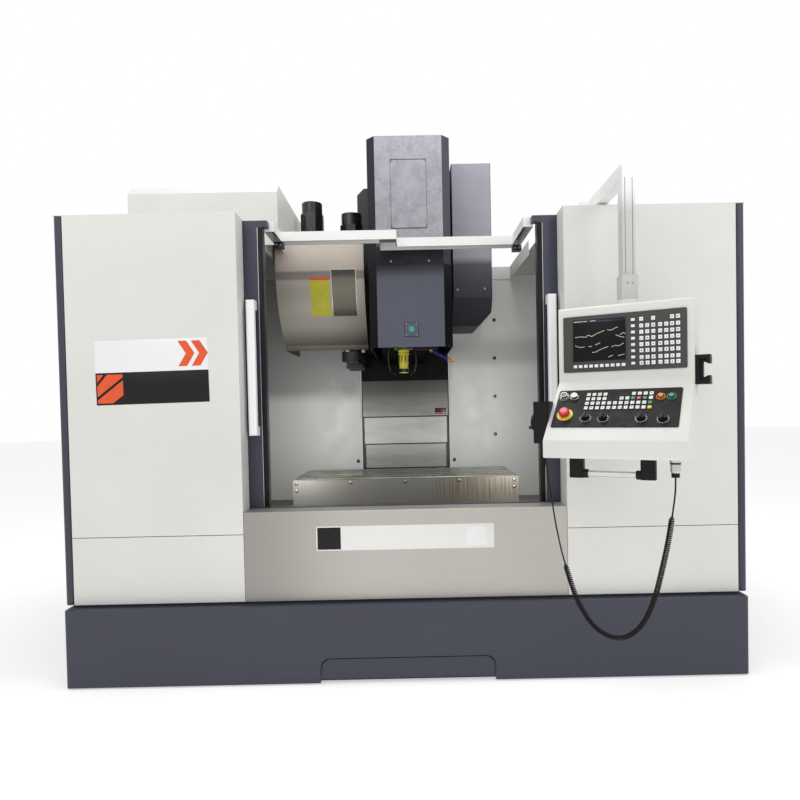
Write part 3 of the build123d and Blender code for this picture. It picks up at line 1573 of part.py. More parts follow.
def corner_radii(points):
    """Largest arc at each corner that leaves both runs room."""
    radii = []
    for before, corner, after in zip(points, points[1:], points[2:]):
        run_in = Vector(*corner) - Vector(*before)
        run_out = Vector(*after) - Vector(*corner)
        half_turn = math.radians(run_in.get_angle(run_out)) / 2
        radii.append(cord_bend_share * min(run_in.length, run_out.length) / math.tan(half_turn))
    return radii


cord_runs = {
    "cord_lead_in": (lead_in_points, lead_diameter),
    "coil_cord": (coil_points, coil_diameter),
    "cord_lead_out": (lead_out_points, lead_diameter),
}
for cord_name, (route, diameter) in cord_runs.items():
    cord_points = [on_pendant(across, cord_out, z) for across, z in route]
    radii = corner_radii(cord_points)
    print(cord_name, "radii", [round(radius) for radius in radii])
    with BuildPart() as cord:
        with BuildLine() as cord_path:
            FilletPolyline(*cord_points, radius=radii)
        with BuildSketch(Plane(origin=cord_path.line @ 0, z_dir=cord_path.line % 0)):
            Circle(diameter / 2)
        sweep()
    path_length = sum(edge.length for edge in cord_path.line.edges())
    print(cord_name, "length", round(path_length), "volume share",
          round(cord.part.volume / (math.pi * diameter ** 2 / 4 * path_length), 4))
    save(cord, cord_name)
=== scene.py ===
"""Looks of a vertical machining centre: finishes, fittings, cord and stage around its solids."""
import math

import bmesh
import bpy
from mathutils import Matrix, Vector


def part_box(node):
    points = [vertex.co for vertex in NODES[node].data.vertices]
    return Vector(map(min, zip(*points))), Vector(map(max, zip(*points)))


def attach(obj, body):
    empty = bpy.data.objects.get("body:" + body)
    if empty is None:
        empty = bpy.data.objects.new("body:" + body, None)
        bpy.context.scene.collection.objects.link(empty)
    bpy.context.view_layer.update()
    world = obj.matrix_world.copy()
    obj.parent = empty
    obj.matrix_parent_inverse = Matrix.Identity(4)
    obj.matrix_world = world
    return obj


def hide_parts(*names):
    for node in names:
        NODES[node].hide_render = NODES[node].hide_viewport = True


bl_info = {
    "name": "Machining Centre Looks",
    "version": (1, 0, 0),
    "blender": (4, 5, 0),
    "location": "View3D > Sidebar > Machine",
    "description": "Dresses the machining centre with finishes, fittings, its cord and a stage",
    "category": "Object",
}

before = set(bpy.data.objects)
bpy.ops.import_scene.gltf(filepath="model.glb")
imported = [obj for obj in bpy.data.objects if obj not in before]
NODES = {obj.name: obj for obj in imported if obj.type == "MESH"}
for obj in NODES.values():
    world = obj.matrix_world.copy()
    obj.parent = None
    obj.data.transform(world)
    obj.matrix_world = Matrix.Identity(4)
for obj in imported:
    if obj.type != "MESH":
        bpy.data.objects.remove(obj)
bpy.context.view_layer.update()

# Plane of the front panels, from which depths run back into the machine
FRONT_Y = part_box("front_apron")[0].y


def at(depth):
    """Y of a plane this many metres behind the front panels."""
    return FRONT_Y + depth


def color_prop(name, description, value):
    return bpy.props.FloatVectorProperty(
        name=name, description=description, size=3, min=0.0, max=1.0, subtype="COLOR_GAMMA", default=value
    )


def length_prop(name, description, value):
    return bpy.props.FloatProperty(
        name=name, description=description, default=value, min=0.0, unit="LENGTH", subtype="DISTANCE"
    )


def power_prop(name, description, value):
    return bpy.props.FloatProperty(name=name, description=description, default=value, min=0.0, unit="POWER")


class MachineColors(bpy.types.PropertyGroup):
    """Paint, metal and plastic colours, as they look on a screen."""

    cream: color_prop("Cream enamel", "Front panels, roof, hood and pendant", (0.866, 0.864, 0.845))
    slate: color_prop("Slate enamel", "Base, doors, sides and column", (0.206, 0.214, 0.270))
    stainless: color_prop("Stainless sheet", "Apron and telescopic covers", (0.74, 0.725, 0.70))
    guard: color_prop("Guard steel", "Sheet on the table's front", (0.60, 0.59, 0.565))
    oil: color_prop("Oil stain", "Dried oil that has run down the guard", (0.42, 0.37, 0.16))
    casting: color_prop("Black casting", "Head casting, arm and motors", (0.075, 0.077, 0.085))
    ground: color_prop("Ground steel", "Table top and spindle", (0.50, 0.50, 0.47))
    holder: color_prop("Yellow holder", "Tool holder in the spindle", (0.93, 0.88, 0.30))
    aluminium: color_prop("Satin aluminium", "Handles, drop tube and grab bar", (0.80, 0.81, 0.80))
    bezel: color_prop("Bezel plastic", "Screen surround", (0.215, 0.216, 0.205))
    operator: color_prop("Operator face", "Plate that carries the keys", (0.135, 0.136, 0.140))
    key: color_prop("Key cap", "Pale key caps", (0.94, 0.945, 0.935))
    black: color_prop("Black plastic", "Knobs, brackets and fittings", (0.055, 0.055, 0.06))
    red: color_prop("Stop red", "Emergency stop", (0.78, 0.13, 0.15))
    ring: color_prop("Stop ring", "Collar round the emergency stop", (0.90, 0.79, 0.27))
    green: color_prop("Start green", "Start button and lit keys", (0.14, 0.50, 0.37))
    orange: color_prop("Hold orange", "Hold button and nozzle tip", (0.82, 0.46, 0.17))
    blue: color_prop("Hose blue", "Coolant hose segments", (0.10, 0.12, 0.46))
    teal: color_prop("Release teal", "Tool release button", (0.27, 0.66, 0.61))
    brass: color_prop("Brass", "Hose elbow and unions", (0.72, 0.56, 0.29))


class MachineSizes(bpy.types.PropertyGroup):
    """Sizes of fittings that only the looks carry."""

    bolt: length_prop("Bolt head", "Radius of the button-head bolts", 0.009)
    screw: length_prop("Screw head", "Radius of small cover screws", 0.006)
    wire: length_prop("Cord wire", "Diameter of the curly cord's own wire", 0.0062)
    coil: length_prop("Cord coil", "Outer diameter of the curly cord", 0.0216)
    pitch: length_prop("Coil pitch", "Distance from one turn of the coil to the next", 0.0076)
    cord: length_prop("Cord length", "Whole length of the curly cord's wire, uncurled", 6.0)


class MachineStage(bpy.types.PropertyGroup):
    """Camera, floor and lights."""

    lens: bpy.props.FloatProperty(
        name="Lens", description="Focal length", default=28.32, min=1.0, unit="CAMERA"
    )
    eye_x: bpy.props.FloatProperty(
        name="Eye side", description="Camera's place across", default=0.029, unit="LENGTH"
    )
    eye_depth: length_prop("Eye distance", "Camera's distance from the front panels", 2.745)
    eye_height: length_prop("Eye height", "Camera's height above the floor", 1.192)
    turn: bpy.props.FloatVectorProperty(
        name="Turn", description="Camera's tilt, roll and heading", size=3,
        default=(-0.0249, -0.0204, -0.0034), subtype="EULER"
    )
    shift: bpy.props.FloatVectorProperty(
        name="Shift", description="Shift of the picture, as a share of its width", size=2,
        default=(-0.0153, 0.0290)
    )
    floor: color_prop("Floor", "Pale floor", (0.93, 0.93, 0.93))
    sky: bpy.props.FloatProperty(
        name="Sky", description="Strength of the light from all round", default=0.50, min=0.0
    )
    key: power_prop("Key lamp", "Power", 44.0)
    fill: power_prop("Fill lamp", "Power", 42.0)
    top: power_prop("Top lamp", "Power", 76.0)
    work: power_prop("Work lamps", "Power of each", 2.1)


def colors():
    return bpy.context.scene.machine_colors


def sizes():
    return bpy.context.scene.machine_sizes


def linear(color):
    """Scene-linear colour of a screen colour, with alpha."""
    parts = [c / 12.92 if c <= 0.04045 else ((c + 0.055) / 1.055) ** 2.4 for c in color]
    return (*parts, 1.0)


def shade(color, factor):
    """The same screen colour, lighter or darker."""
    return tuple(min(1.0, c * factor) for c in color)


class Finish:
    """One procedural material, built node by node on Object coordinates."""

    def __init__(self, name, roughness=0.5, metallic=0.0, coat=0.0, specular=0.5):
        self.material = bpy.data.materials.new(name)
        self.material.use_nodes = True
        self.tree = self.material.node_tree
        self.shader = self.tree.nodes["Principled BSDF"]
        self.shader.inputs["Roughness"].default_value = roughness
        self.shader.inputs["Metallic"].default_value = metallic
        self.shader.inputs["Coat Weight"].default_value = coat
        self.shader.inputs["Specular IOR Level"].default_value = specular
        self.place = self.tree.nodes.new("ShaderNodeTexCoord").outputs["Object"]

    def link(self, source, target):
        self.tree.links.new(source, target)

    def add(self, kind, **values):
        node = self.tree.nodes.new(kind)
        for key, value in values.items():
            if hasattr(node, key):
                setattr(node, key, value)
            else:
                node.inputs[key.replace("_", " ")].default_value = value
        return node

    def stretch(self, scale, location=(0, 0, 0)):
        """Object coordinates, stretched along the axes."""
        mapping = self.add("ShaderNodeMapping", Scale=scale, Location=location)
        self.link(self.place, mapping.inputs["Vector"])
        return mapping.outputs["Vector"]

    def noise(self, scale, detail=3.0, roughness=0.55, stretch=None, location=(0, 0, 0)):
        node = self.add("ShaderNodeTexNoise", Scale=scale, Detail=detail, Roughness=roughness)
        self.link(self.stretch(stretch or (1, 1, 1), location), node.inputs["Vector"])
        return node.outputs["Fac"]

    def axis(self, index):
        split = self.add("ShaderNodeSeparateXYZ")
        self.link(self.place, split.inputs[0])
        return split.outputs[index]

    def span(self, value, low, high, to_low=0.0, to_high=1.0):
        """Value from low to high, made to run from to_low to to_high."""
        node = self.add("ShaderNodeMapRange", interpolation_type="SMOOTHSTEP")
        self.link(value, node.inputs["Value"])
        for key, number in (("From Min", low), ("From Max", high), ("To Min", to_low), ("To Max", to_high)):
            node.inputs[key].default_value = number
        return node.outputs["Result"]

    def ramp(self, value, stops):
        """Colour that follows a value through (value, colour) stops, lowest first."""
        low = stops[0][0]
        high = stops[-1][0]
        share = self.add("ShaderNodeMapRange")
        self.link(value, share.inputs["Value"])
        share.inputs["From Min"].default_value = low
        share.inputs["From Max"].default_value = high
        node = self.add("ShaderNodeValToRGB")
        elements = node.color_ramp.elements
        elements[0].color = linear(stops[0][1])
        elements[1].color = linear(stops[-1][1])
        for place, color in stops[1:-1]:
            elements.new((place - low) / (high - low)).color = linear(color)
        self.link(share.outputs["Result"], node.inputs["Fac"])
        return node.outputs["Color"]

    def facing(self, index, low, high):
        """One where the face looks along an axis, from the low to the high share of its normal."""
        split = self.add("ShaderNodeSeparateXYZ")
        self.link(self.add("ShaderNodeNewGeometry").outputs["Normal"], split.inputs[0])
        return self.span(split.outputs[index], low, high)

    def math(self, operation, first, second):
        node = self.add("ShaderNodeMath", operation=operation)
        for socket, value in zip(node.inputs, (first, second)):
            if isinstance(value, (int, float)):
                socket.default_value = value
            else:
                self.link(value, socket)
        return node.outputs[0]

    def times(self, first, *others):
        for other in others:
            first = self.math("MULTIPLY", first, other)
        return first

    def mix(self, factor, first, second):
        """Colour mix of two colours or colour sockets."""
        node = self.add("ShaderNodeMix", data_type="RGBA")
        if isinstance(factor, (int, float)):
            node.inputs["Factor"].default_value = factor
        else:
            self.link(factor, node.inputs["Factor"])
        for socket, value in ((node.inputs[6], first), (node.inputs[7], second)):
            if isinstance(value, tuple):
                socket.default_value = linear(value)
            else:
                self.link(value, socket)
        return node.outputs[2]

    def color(self, value):
        if isinstance(value, tuple):
            self.shader.inputs["Base Color"].default_value = linear(value)
        else:
            self.link(value, self.shader.inputs["Base Color"])

    def base(self):
        """Colour socket that the shader has so far."""
        return self.shader.inputs["Base Color"].links[0].from_socket

    def rough(self, value, low, high):
        self.link(self.span(value, 0.25, 0.75, low, high), self.shader.inputs["Roughness"])

    def bump(self, height, distance, strength=1.0):
        node = self.add("ShaderNodeBump", Strength=strength, Distance=distance)
        self.link(height, node.inputs["Height"])
        previous = self.shader.inputs["Normal"].links
        if previous:
            self.link(previous[0].from_socket, node.inputs["Normal"])
        self.link(node.outputs["Normal"], self.shader.inputs["Normal"])


def enamel(name, color, grain=420.0, depth=0.00012, rough=(0.36, 0.5), blotch=0.05, coat=0.0):
    """Sprayed paint: fine orange peel, faint cloudy tone and a little uneven gloss."""
    paint = Finish(name, coat=coat, specular=0.45)
    cloud = paint.noise(1.3, detail=4.0)
    tone = paint.mix(cloud, shade(color, 1.0 - blotch), shade(color, 1.0 + blotch))
    speck = paint.span(paint.noise(55.0, detail=2.0), 0.66, 0.74)
    paint.color(paint.mix(paint.times(speck, 0.12), tone, shade(color, 0.72)))
    paint.rough(paint.noise(9.0), *rough)
    paint.bump(paint.noise(grain, detail=1.0), depth, 0.35)
    return paint


def brushed(name, color, along=(1.0, 160.0, 160.0), rough=(0.26, 0.42), streak=0.10, metallic=1.0):
    """Brushed sheet: long fine streaks in tone, gloss and height, with a few hand marks."""
    metal = Finish(name, metallic=metallic)
    lines = metal.noise(6.0, detail=6.0, roughness=0.7, stretch=along)
    broad = metal.noise(2.2, detail=3.0)
    tone = metal.mix(lines, shade(color, 1.0 - streak), shade(color, 1.0 + streak))
    metal.color(metal.mix(metal.times(broad, 0.22), tone, shade(color, 0.80)))
    metal.rough(metal.times(metal.math("ADD", lines, broad), 0.5), *rough)
    metal.bump(lines, 0.00008, 0.3)
    return metal


def moulded(name, color, rough=(0.34, 0.48), grain=900.0, coat=0.0, specular=0.5):
    """Moulded plastic: fine spark grain and slight wear in the gloss."""
    plastic = Finish(name, coat=coat, specular=specular)
    cloud = plastic.noise(14.0)
    plastic.color(plastic.mix(cloud, shade(color, 0.92), shade(color, 1.07)))
    plastic.rough(plastic.noise(30.0), *rough)
    plastic.bump(plastic.noise(grain, detail=1.0), 0.00006, 0.3)
    return plastic


def cast(name, color, specular=0.4):
    """Painted casting: rough skin with a dull sheen."""
    iron = Finish(name, specular=specular)
    skin = iron.noise(70.0, detail=5.0)
    iron.color(iron.mix(skin, shade(color, 0.75), shade(color, 1.35)))
    iron.rough(iron.noise(12.0), 0.42, 0.62)
    iron.bump(skin, 0.0006, 0.5)
    return iron


def ground_steel(name, color):
    """Ground steel with a film of oil and rust freckles."""
    steel = Finish(name, metallic=0.85)
    lines = steel.noise(9.0, detail=5.0, stretch=(1.0, 90.0, 1.0))
    film = steel.noise(5.0, detail=4.0)
    tone = steel.mix(lines, shade(color, 0.86), shade(color, 1.12))
    tone = steel.mix(steel.span(film, 0.45, 0.75, 0.0, 0.55), tone, shade(colors().oil, 1.05))
    steel.color(tone)
    steel.rough(film, 0.22, 0.44)
    steel.bump(lines, 0.0001, 0.3)
    return steel


def graded(name, stops, left, right, mottle=0.10, cloud=11.0, rough=(0.42, 0.56)):
    """Dark sheet paint in a hall's light: painted light and shade as a tone that changes with height, dull
    mottling, and flanks painted darker as shade.
    """
    paint = Finish(name, specular=0.25)
    tone = paint.ramp(paint.axis(2), stops)
    patches = paint.span(paint.noise(cloud, detail=6.0, roughness=0.65), 0.40, 0.68)
    fine = paint.span(paint.noise(cloud * 9.0, detail=3.0), 0.35, 0.75)
    spots = paint.times(paint.math("ADD", patches, fine), mottle)
    tone = paint.mix(spots, tone, (0.22, 0.225, 0.26))
    # Faces that look left or right take the flank colours, painted shade on the sides
    tone = paint.mix(paint.facing(0, -0.25, -0.60), tone, left)
    paint.color(paint.mix(paint.facing(0, 0.25, 0.60), tone, right))
    paint.rough(paint.noise(9.0), *rough)
    paint.bump(paint.noise(260.0, detail=2.0), 0.0003, 0.3)
    return paint


def beam_enamel(name, color, under):
    """Sprayed paint on a beam whose underside lies in its own shade."""
    paint = enamel(name, color)
    base = paint.base()
    paint.color(paint.mix(paint.facing(2, -0.3, -0.7), base, under))
    return paint


def apron_sheet(name, color, end_shade):
    """Brushed sheet that falls off in tone towards its left end."""
    sheet = brushed(name, color, rough=(0.34, 0.48), streak=0.05, metallic=0.55)
    base = sheet.base()
    end = shade(colors().stainless, end_shade)
    sheet.color(sheet.mix(sheet.span(sheet.axis(0), -0.20, -0.72), base, end))
    return sheet


def wall_paint(name, stops):
    """Sprayed paint on a wall, paler towards its top as painted light, with soft shade painted on its inner
    face.
    """
    paint = enamel(name, stops[0][1])
    base = paint.base()
    tone = paint.mix(0.85, base, paint.ramp(paint.axis(2), stops))
    inner = paint.facing(1, 0.0, -0.5)
    left = paint.span(paint.axis(0), -0.22, -0.34)
    # Painted shade under the drum, on the left of the wall's inner face
    shade_below_drum = paint.times(inner, left, paint.span(paint.axis(2), 1.22, 1.33, 0.0, 0.62))
    tone = paint.mix(shade_below_drum, tone, (0.34, 0.34, 0.33))
    # Painted shade in a strip under the side cover, on the right of the wall's inner face
    right = paint.span(paint.axis(0), 0.20, 0.26, 0.0, 0.40)
    level = paint.times(paint.span(paint.axis(2), 1.42, 1.52), paint.span(paint.axis(2), 1.70, 1.56))
    strip = paint.times(level, inner, right)
    paint.color(paint.mix(strip, tone, (0.40, 0.40, 0.39)))
    return paint


def hose_plastic(name, color, manifold, joint):
    """Plastic of the hose, with the black of the manifold above its joint."""
    plastic = moulded(name, color, coat=0.15)
    base = plastic.base()
    above = plastic.span(plastic.axis(2), joint - 0.0005, joint + 0.0005)
    plastic.color(plastic.mix(above, base, manifold))
    return plastic


def tinted_plate(name, stops):
    """Tinted plate whose tone changes with height."""
    plate = moulded(name, stops[0][1], rough=(0.2, 0.3), coat=0.2)
    plate.color(plate.ramp(plate.axis(2), stops))
    return plate


def arm_paint(name, stops):
    """Plain arm paint, paler up in the light of the hall."""
    paint = enamel(name, stops[0][1], blotch=0.03)
    paint.color(paint.ramp(paint.axis(2), stops))
    return paint


def rolled_sheet(name, stops, streak=0.06, wiped=0.0):
    """Rolled satin sheet: tones up its height, darker where it lies in shade, fine lines and wiped oil."""
    sheet = Finish(name, metallic=0.25, specular=0.35)
    tone = sheet.ramp(sheet.axis(2), stops)
    lines = sheet.noise(6.0, detail=5.0, roughness=0.7, stretch=(110.0, 1.0, 1.0))
    broad = sheet.noise(2.4, detail=3.0, stretch=(1.0, 1.0, 3.0))
    tone = sheet.mix(sheet.times(lines, streak * 2.0), tone, (0.40, 0.38, 0.35))
    tone = sheet.mix(sheet.times(broad, 0.14), tone, (0.50, 0.47, 0.43))
    oil = sheet.noise(2.2, detail=5.0, roughness=0.65, stretch=(1.6, 1.0, 6.0))
    smudges = sheet.times(sheet.span(oil, 0.36, 0.70), wiped)
    sheet.color(sheet.mix(smudges, tone, (0.25, 0.25, 0.245)))
    sheet.rough(lines, 0.40, 0.55)
    sheet.bump(lines, 0.00006, 0.25)
    return sheet


def stained_guard(name, color, stain_from):
    """Guard sheet: dull steel with oil that has run down its right half in streaks."""
    sheet = brushed(name, color, along=(60.0, 60.0, 2.0), rough=(0.42, 0.56), streak=0.06, metallic=0.3)
    base = sheet.base()
    runs = sheet.noise(1.0, detail=4.0, roughness=0.6, stretch=(95.0, 1.0, 0.8), location=(3.1, 0.0, 0.4))
    reach = sheet.noise(1.0, detail=1.0, stretch=(60.0, 1.0, 0.01), location=(7.7, 0.0, 0.0))
    side = sheet.span(sheet.axis(0), stain_from - 0.12, stain_from + 0.08, 0.06, 1.0)
    height = sheet.span(sheet.axis(2), *[corner.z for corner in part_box("table_guard")])
    hang = sheet.span(sheet.math("ADD", height, reach), 0.80, 1.20)
    streaks = sheet.times(sheet.span(runs, 0.46, 0.60), side, hang)
    tone = sheet.mix(sheet.times(side, 0.22), base, shade(colors().oil, 1.1))
    tone = sheet.mix(sheet.times(streaks, 0.8), tone, (0.46, 0.39, 0.20))
    rust = sheet.times(sheet.span(runs, 0.58, 0.68), side, hang)
    sheet.color(sheet.mix(sheet.times(rust, 0.7), tone, (0.30, 0.20, 0.09)))
    return sheet


def clear_pane(name, color):
    """Scuffed clear window sheet."""
    pane = Finish(name, roughness=0.06)
    pane.shader.inputs["Transmission Weight"].default_value = 0.92
    pane.shader.inputs["IOR"].default_value = 1.49
    pane.color(pane.mix(pane.noise(4.0), color, (0.90, 0.94, 0.94)))
    pane.rough(pane.noise(22.0), 0.04, 0.12)
    return pane


SHARP_ANGLE = math.radians(35)


class Placed:
    """Turns and moves whatever is added to a bmesh inside the with block."""

    def __init__(self, bm, matrix):
        self.bm = bm
        self.matrix = matrix

    def __enter__(self):
        self.before = set(self.bm.verts)

    def __exit__(self, *error):
        added = [vert for vert in self.bm.verts if vert not in self.before]
        bmesh.ops.transform(self.bm, matrix=self.matrix, verts=added, space=Matrix())


def round_edges(bm, verts, radius, segments=2):
    edges = list({edge for vert in verts for edge in vert.link_edges})
    bmesh.ops.bevel(
        bm, geom=edges, offset=radius, offset_type="OFFSET", affect="EDGES", segments=segments,
        profile=0.5, material=-1
    )


def add_box(bm, low, high, bevel=0.0, segments=2):
    """Block between two corners, its edges rounded."""
    low = Vector(low)
    high = Vector(high)
    verts = bmesh.ops.create_cube(bm, size=1.0)["verts"]
    bmesh.ops.scale(bm, vec=high - low, verts=verts)
    bmesh.ops.translate(bm, vec=(low + high) / 2, verts=verts)
    if bevel:
        round_edges(bm, verts, bevel, segments)


def turned_to(start, axis):
    """Matrix that stands local Z along an axis at a point."""
    return Matrix.Translation(Vector(start)) @ Vector(axis).to_track_quat("Z", "Y").to_matrix().to_4x4()


def add_turned(bm, profile, start, axis, sides=20):
    """Body of revolution: a profile of (radius, distance along the axis), spun from a start point."""
    with Placed(bm, turned_to(start, axis)):
        verts = [bm.verts.new((radius, 0.0, along)) for radius, along in profile]
        edges = [bm.edges.new(pair) for pair in zip(verts, verts[1:])]
        bmesh.ops.spin(
            bm, geom=verts + edges, cent=(0, 0, 0), axis=(0, 0, 1), angle=math.tau, steps=sides,
            use_merge=True
        )
        bmesh.ops.remove_doubles(bm, verts=bm.verts, dist=1e-6)


def add_rod(bm, start, end, radius, sides=16, edge=None):
    """Round bar between two points, its ends broken by a small chamfer."""
    start = Vector(start)
    run = Vector(end) - start
    length = run.length
    edge = radius * 0.18 if edge is None else edge
    profile = [
        (0, 0), (radius - edge, 0), (radius, edge), (radius, length - edge), (radius - edge, length),
        (0, length),
    ]
    add_turned(bm, profile, start, run, sides)


def add_outline(bm, points, thickness, bevel=0.0):
    """Plate from an outline in local XY, as thick as given along local Z, its front edge broken."""
    face = bm.faces.new([bm.verts.new((x, y, 0.0)) for x, y in points])
    grown = bmesh.ops.extrude_face_region(bm, geom=[face])["geom"]
    top = [part for part in grown if isinstance(part, bmesh.types.BMVert)]
    bmesh.ops.translate(bm, vec=(0, 0, thickness), verts=top)
    if bevel:
        rim = [edge for edge in {e for v in top for e in v.link_edges} if all(v in top for v in edge.verts)]
        bmesh.ops.bevel(bm, geom=rim, offset=bevel, affect="EDGES", segments=2, profile=0.5, material=-1)


class Piece:
    """A piece under way: a bmesh that becomes a finished piece, riding on a body, after the with block."""

    def __init__(self, name, body, slot, finish_name, plane=None):
        self.name = name
        self.body = body
        self.slot = slot
        self.finish_name = finish_name
        self.plane = plane

    def __enter__(self):
        self.bm = bmesh.new()
        return self.bm

    def __exit__(self, *error):
        bm = self.bm
        if self.plane:
            bmesh.ops.transform(bm, matrix=self.plane, verts=bm.verts, space=Matrix())
        bmesh.ops.recalc_face_normals(bm, faces=bm.faces)
        mesh = bpy.data.meshes.new(self.name)
        bm.to_mesh(mesh)
        bm.free()
        mesh.shade_smooth()
        mesh.set_sharp_from_angle(angle=SHARP_ANGLE)
        mesh.materials.append(finish(self.finish_name))
        piece = bpy.data.objects.new(self.name, mesh)
        bpy.context.collection.objects.link(piece)
        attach(piece, self.body)


# The pendant is turned on its tube: across its face, out from it, and up
PENDANT_YAW = math.radians(30)
PENDANT_X = 0.840
PENDANT_DEPTH = -0.363
FOLD_Z = 1.279
PENDANT_RIGHT = Vector((math.cos(PENDANT_YAW), -math.sin(PENDANT_YAW), 0))
PENDANT_OUT = Vector((-math.sin(PENDANT_YAW), -math.cos(PENDANT_YAW), 0))


def on_pendant(across, out, z):
    """Point at a distance across the pendant, out from its screen face, and at a height."""
    centre = Vector((PENDANT_X, at(PENDANT_DEPTH), z))
    return centre + PENDANT_RIGHT * across + PENDANT_OUT * out


# Tones up the height of the covers inside the frame, as (height, colour): painted light where they are paler,
# painted shade where they are darker
LOWER_COVER_PAINTED_LIGHT = (
    (1.500, (0.36, 0.375, 0.42)), (1.870, (0.36, 0.375, 0.42)), (1.915, (0.22, 0.225, 0.25)),
    (1.945, (0.08, 0.08, 0.09)),
)
MOTOR_COVER_PAINTED_LIGHT = (
    (1.940, (0.06, 0.06, 0.065)), (2.030, (0.12, 0.12, 0.13)), (2.075, (0.66, 0.655, 0.68)),
    (2.330, (0.69, 0.685, 0.72)), (2.610, (0.74, 0.735, 0.77)),
)
SIDE_COVER_PAINTED_LIGHT = (
    (1.670, (0.16, 0.16, 0.18)), (1.800, (0.26, 0.265, 0.29)), (2.010, (0.36, 0.365, 0.39)),
    (2.050, (0.66, 0.655, 0.69)), (2.590, (0.68, 0.675, 0.72)),
)
UPPER_COVER_TONES = (
    (1.137, (0.58, 0.58, 0.57)), (1.230, (0.46, 0.46, 0.45)), (1.300, (0.27, 0.27, 0.26)),
    (1.370, (0.17, 0.17, 0.17)),
)
SECOND_COVER_TONES = ((0.955, (0.76, 0.76, 0.75)), (1.137, (0.72, 0.72, 0.71)), (1.215, (0.40, 0.40, 0.40)))
THIRD_COVER_TONES = (
    (0.560, (0.48, 0.48, 0.47)), (0.860, (0.58, 0.58, 0.57)), (0.955, (0.68, 0.68, 0.67)),
    (1.055, (0.36, 0.36, 0.36)),
)
ARM_TONES = (
    (1.500, (0.74, 0.74, 0.73)), (1.930, (0.77, 0.77, 0.76)), (2.010, (0.93, 0.93, 0.93)),
    (2.120, (0.96, 0.96, 0.96)),
)
# Painted light on the wall: paler towards its top, where light falls in through the open roof
WALL_PAINTED_LIGHT = (
    (0.600, (0.76, 0.76, 0.745)), (1.300, (0.78, 0.78, 0.765)), (1.900, (0.93, 0.93, 0.915)),
    (2.060, (0.95, 0.95, 0.94)),
)
WINDOW_TONES = (
    (1.710, (0.30, 0.285, 0.22)), (1.760, (0.40, 0.38, 0.30)), (1.850, (0.50, 0.475, 0.40)),
    (1.900, (0.46, 0.43, 0.36)), (1.925, (0.22, 0.20, 0.16)), (1.955, (0.16, 0.14, 0.12)),
)
# Painted shade at the drum's lower end and a painted reflection band a little below its top
MAGAZINE_PAINTED_LIGHT = (
    (1.535, (0.27, 0.26, 0.24)), (1.575, (0.46, 0.44, 0.41)), (1.660, (0.74, 0.72, 0.67)),
    (1.895, (0.76, 0.74, 0.70)), (1.905, (0.58, 0.54, 0.52)), (1.940, (0.54, 0.50, 0.48)),
    (1.950, (0.75, 0.71, 0.67)), (2.110, (0.78, 0.74, 0.70)),
)
# Flank colours of the head's covers and the column's side cover: painted shade on the faces that look left
# and right
LOWER_FLANK_SHADE = {"left": (0.13, 0.13, 0.15), "right": (0.10, 0.10, 0.115)}
MOTOR_FLANK_SHADE = {"left": (0.13, 0.135, 0.16), "right": (0.30, 0.30, 0.33)}
SIDE_FLANK_SHADE = {"left": (0.16, 0.16, 0.18), "right": (0.22, 0.22, 0.25)}
BLACK_SHEET = (0.075, 0.075, 0.078)

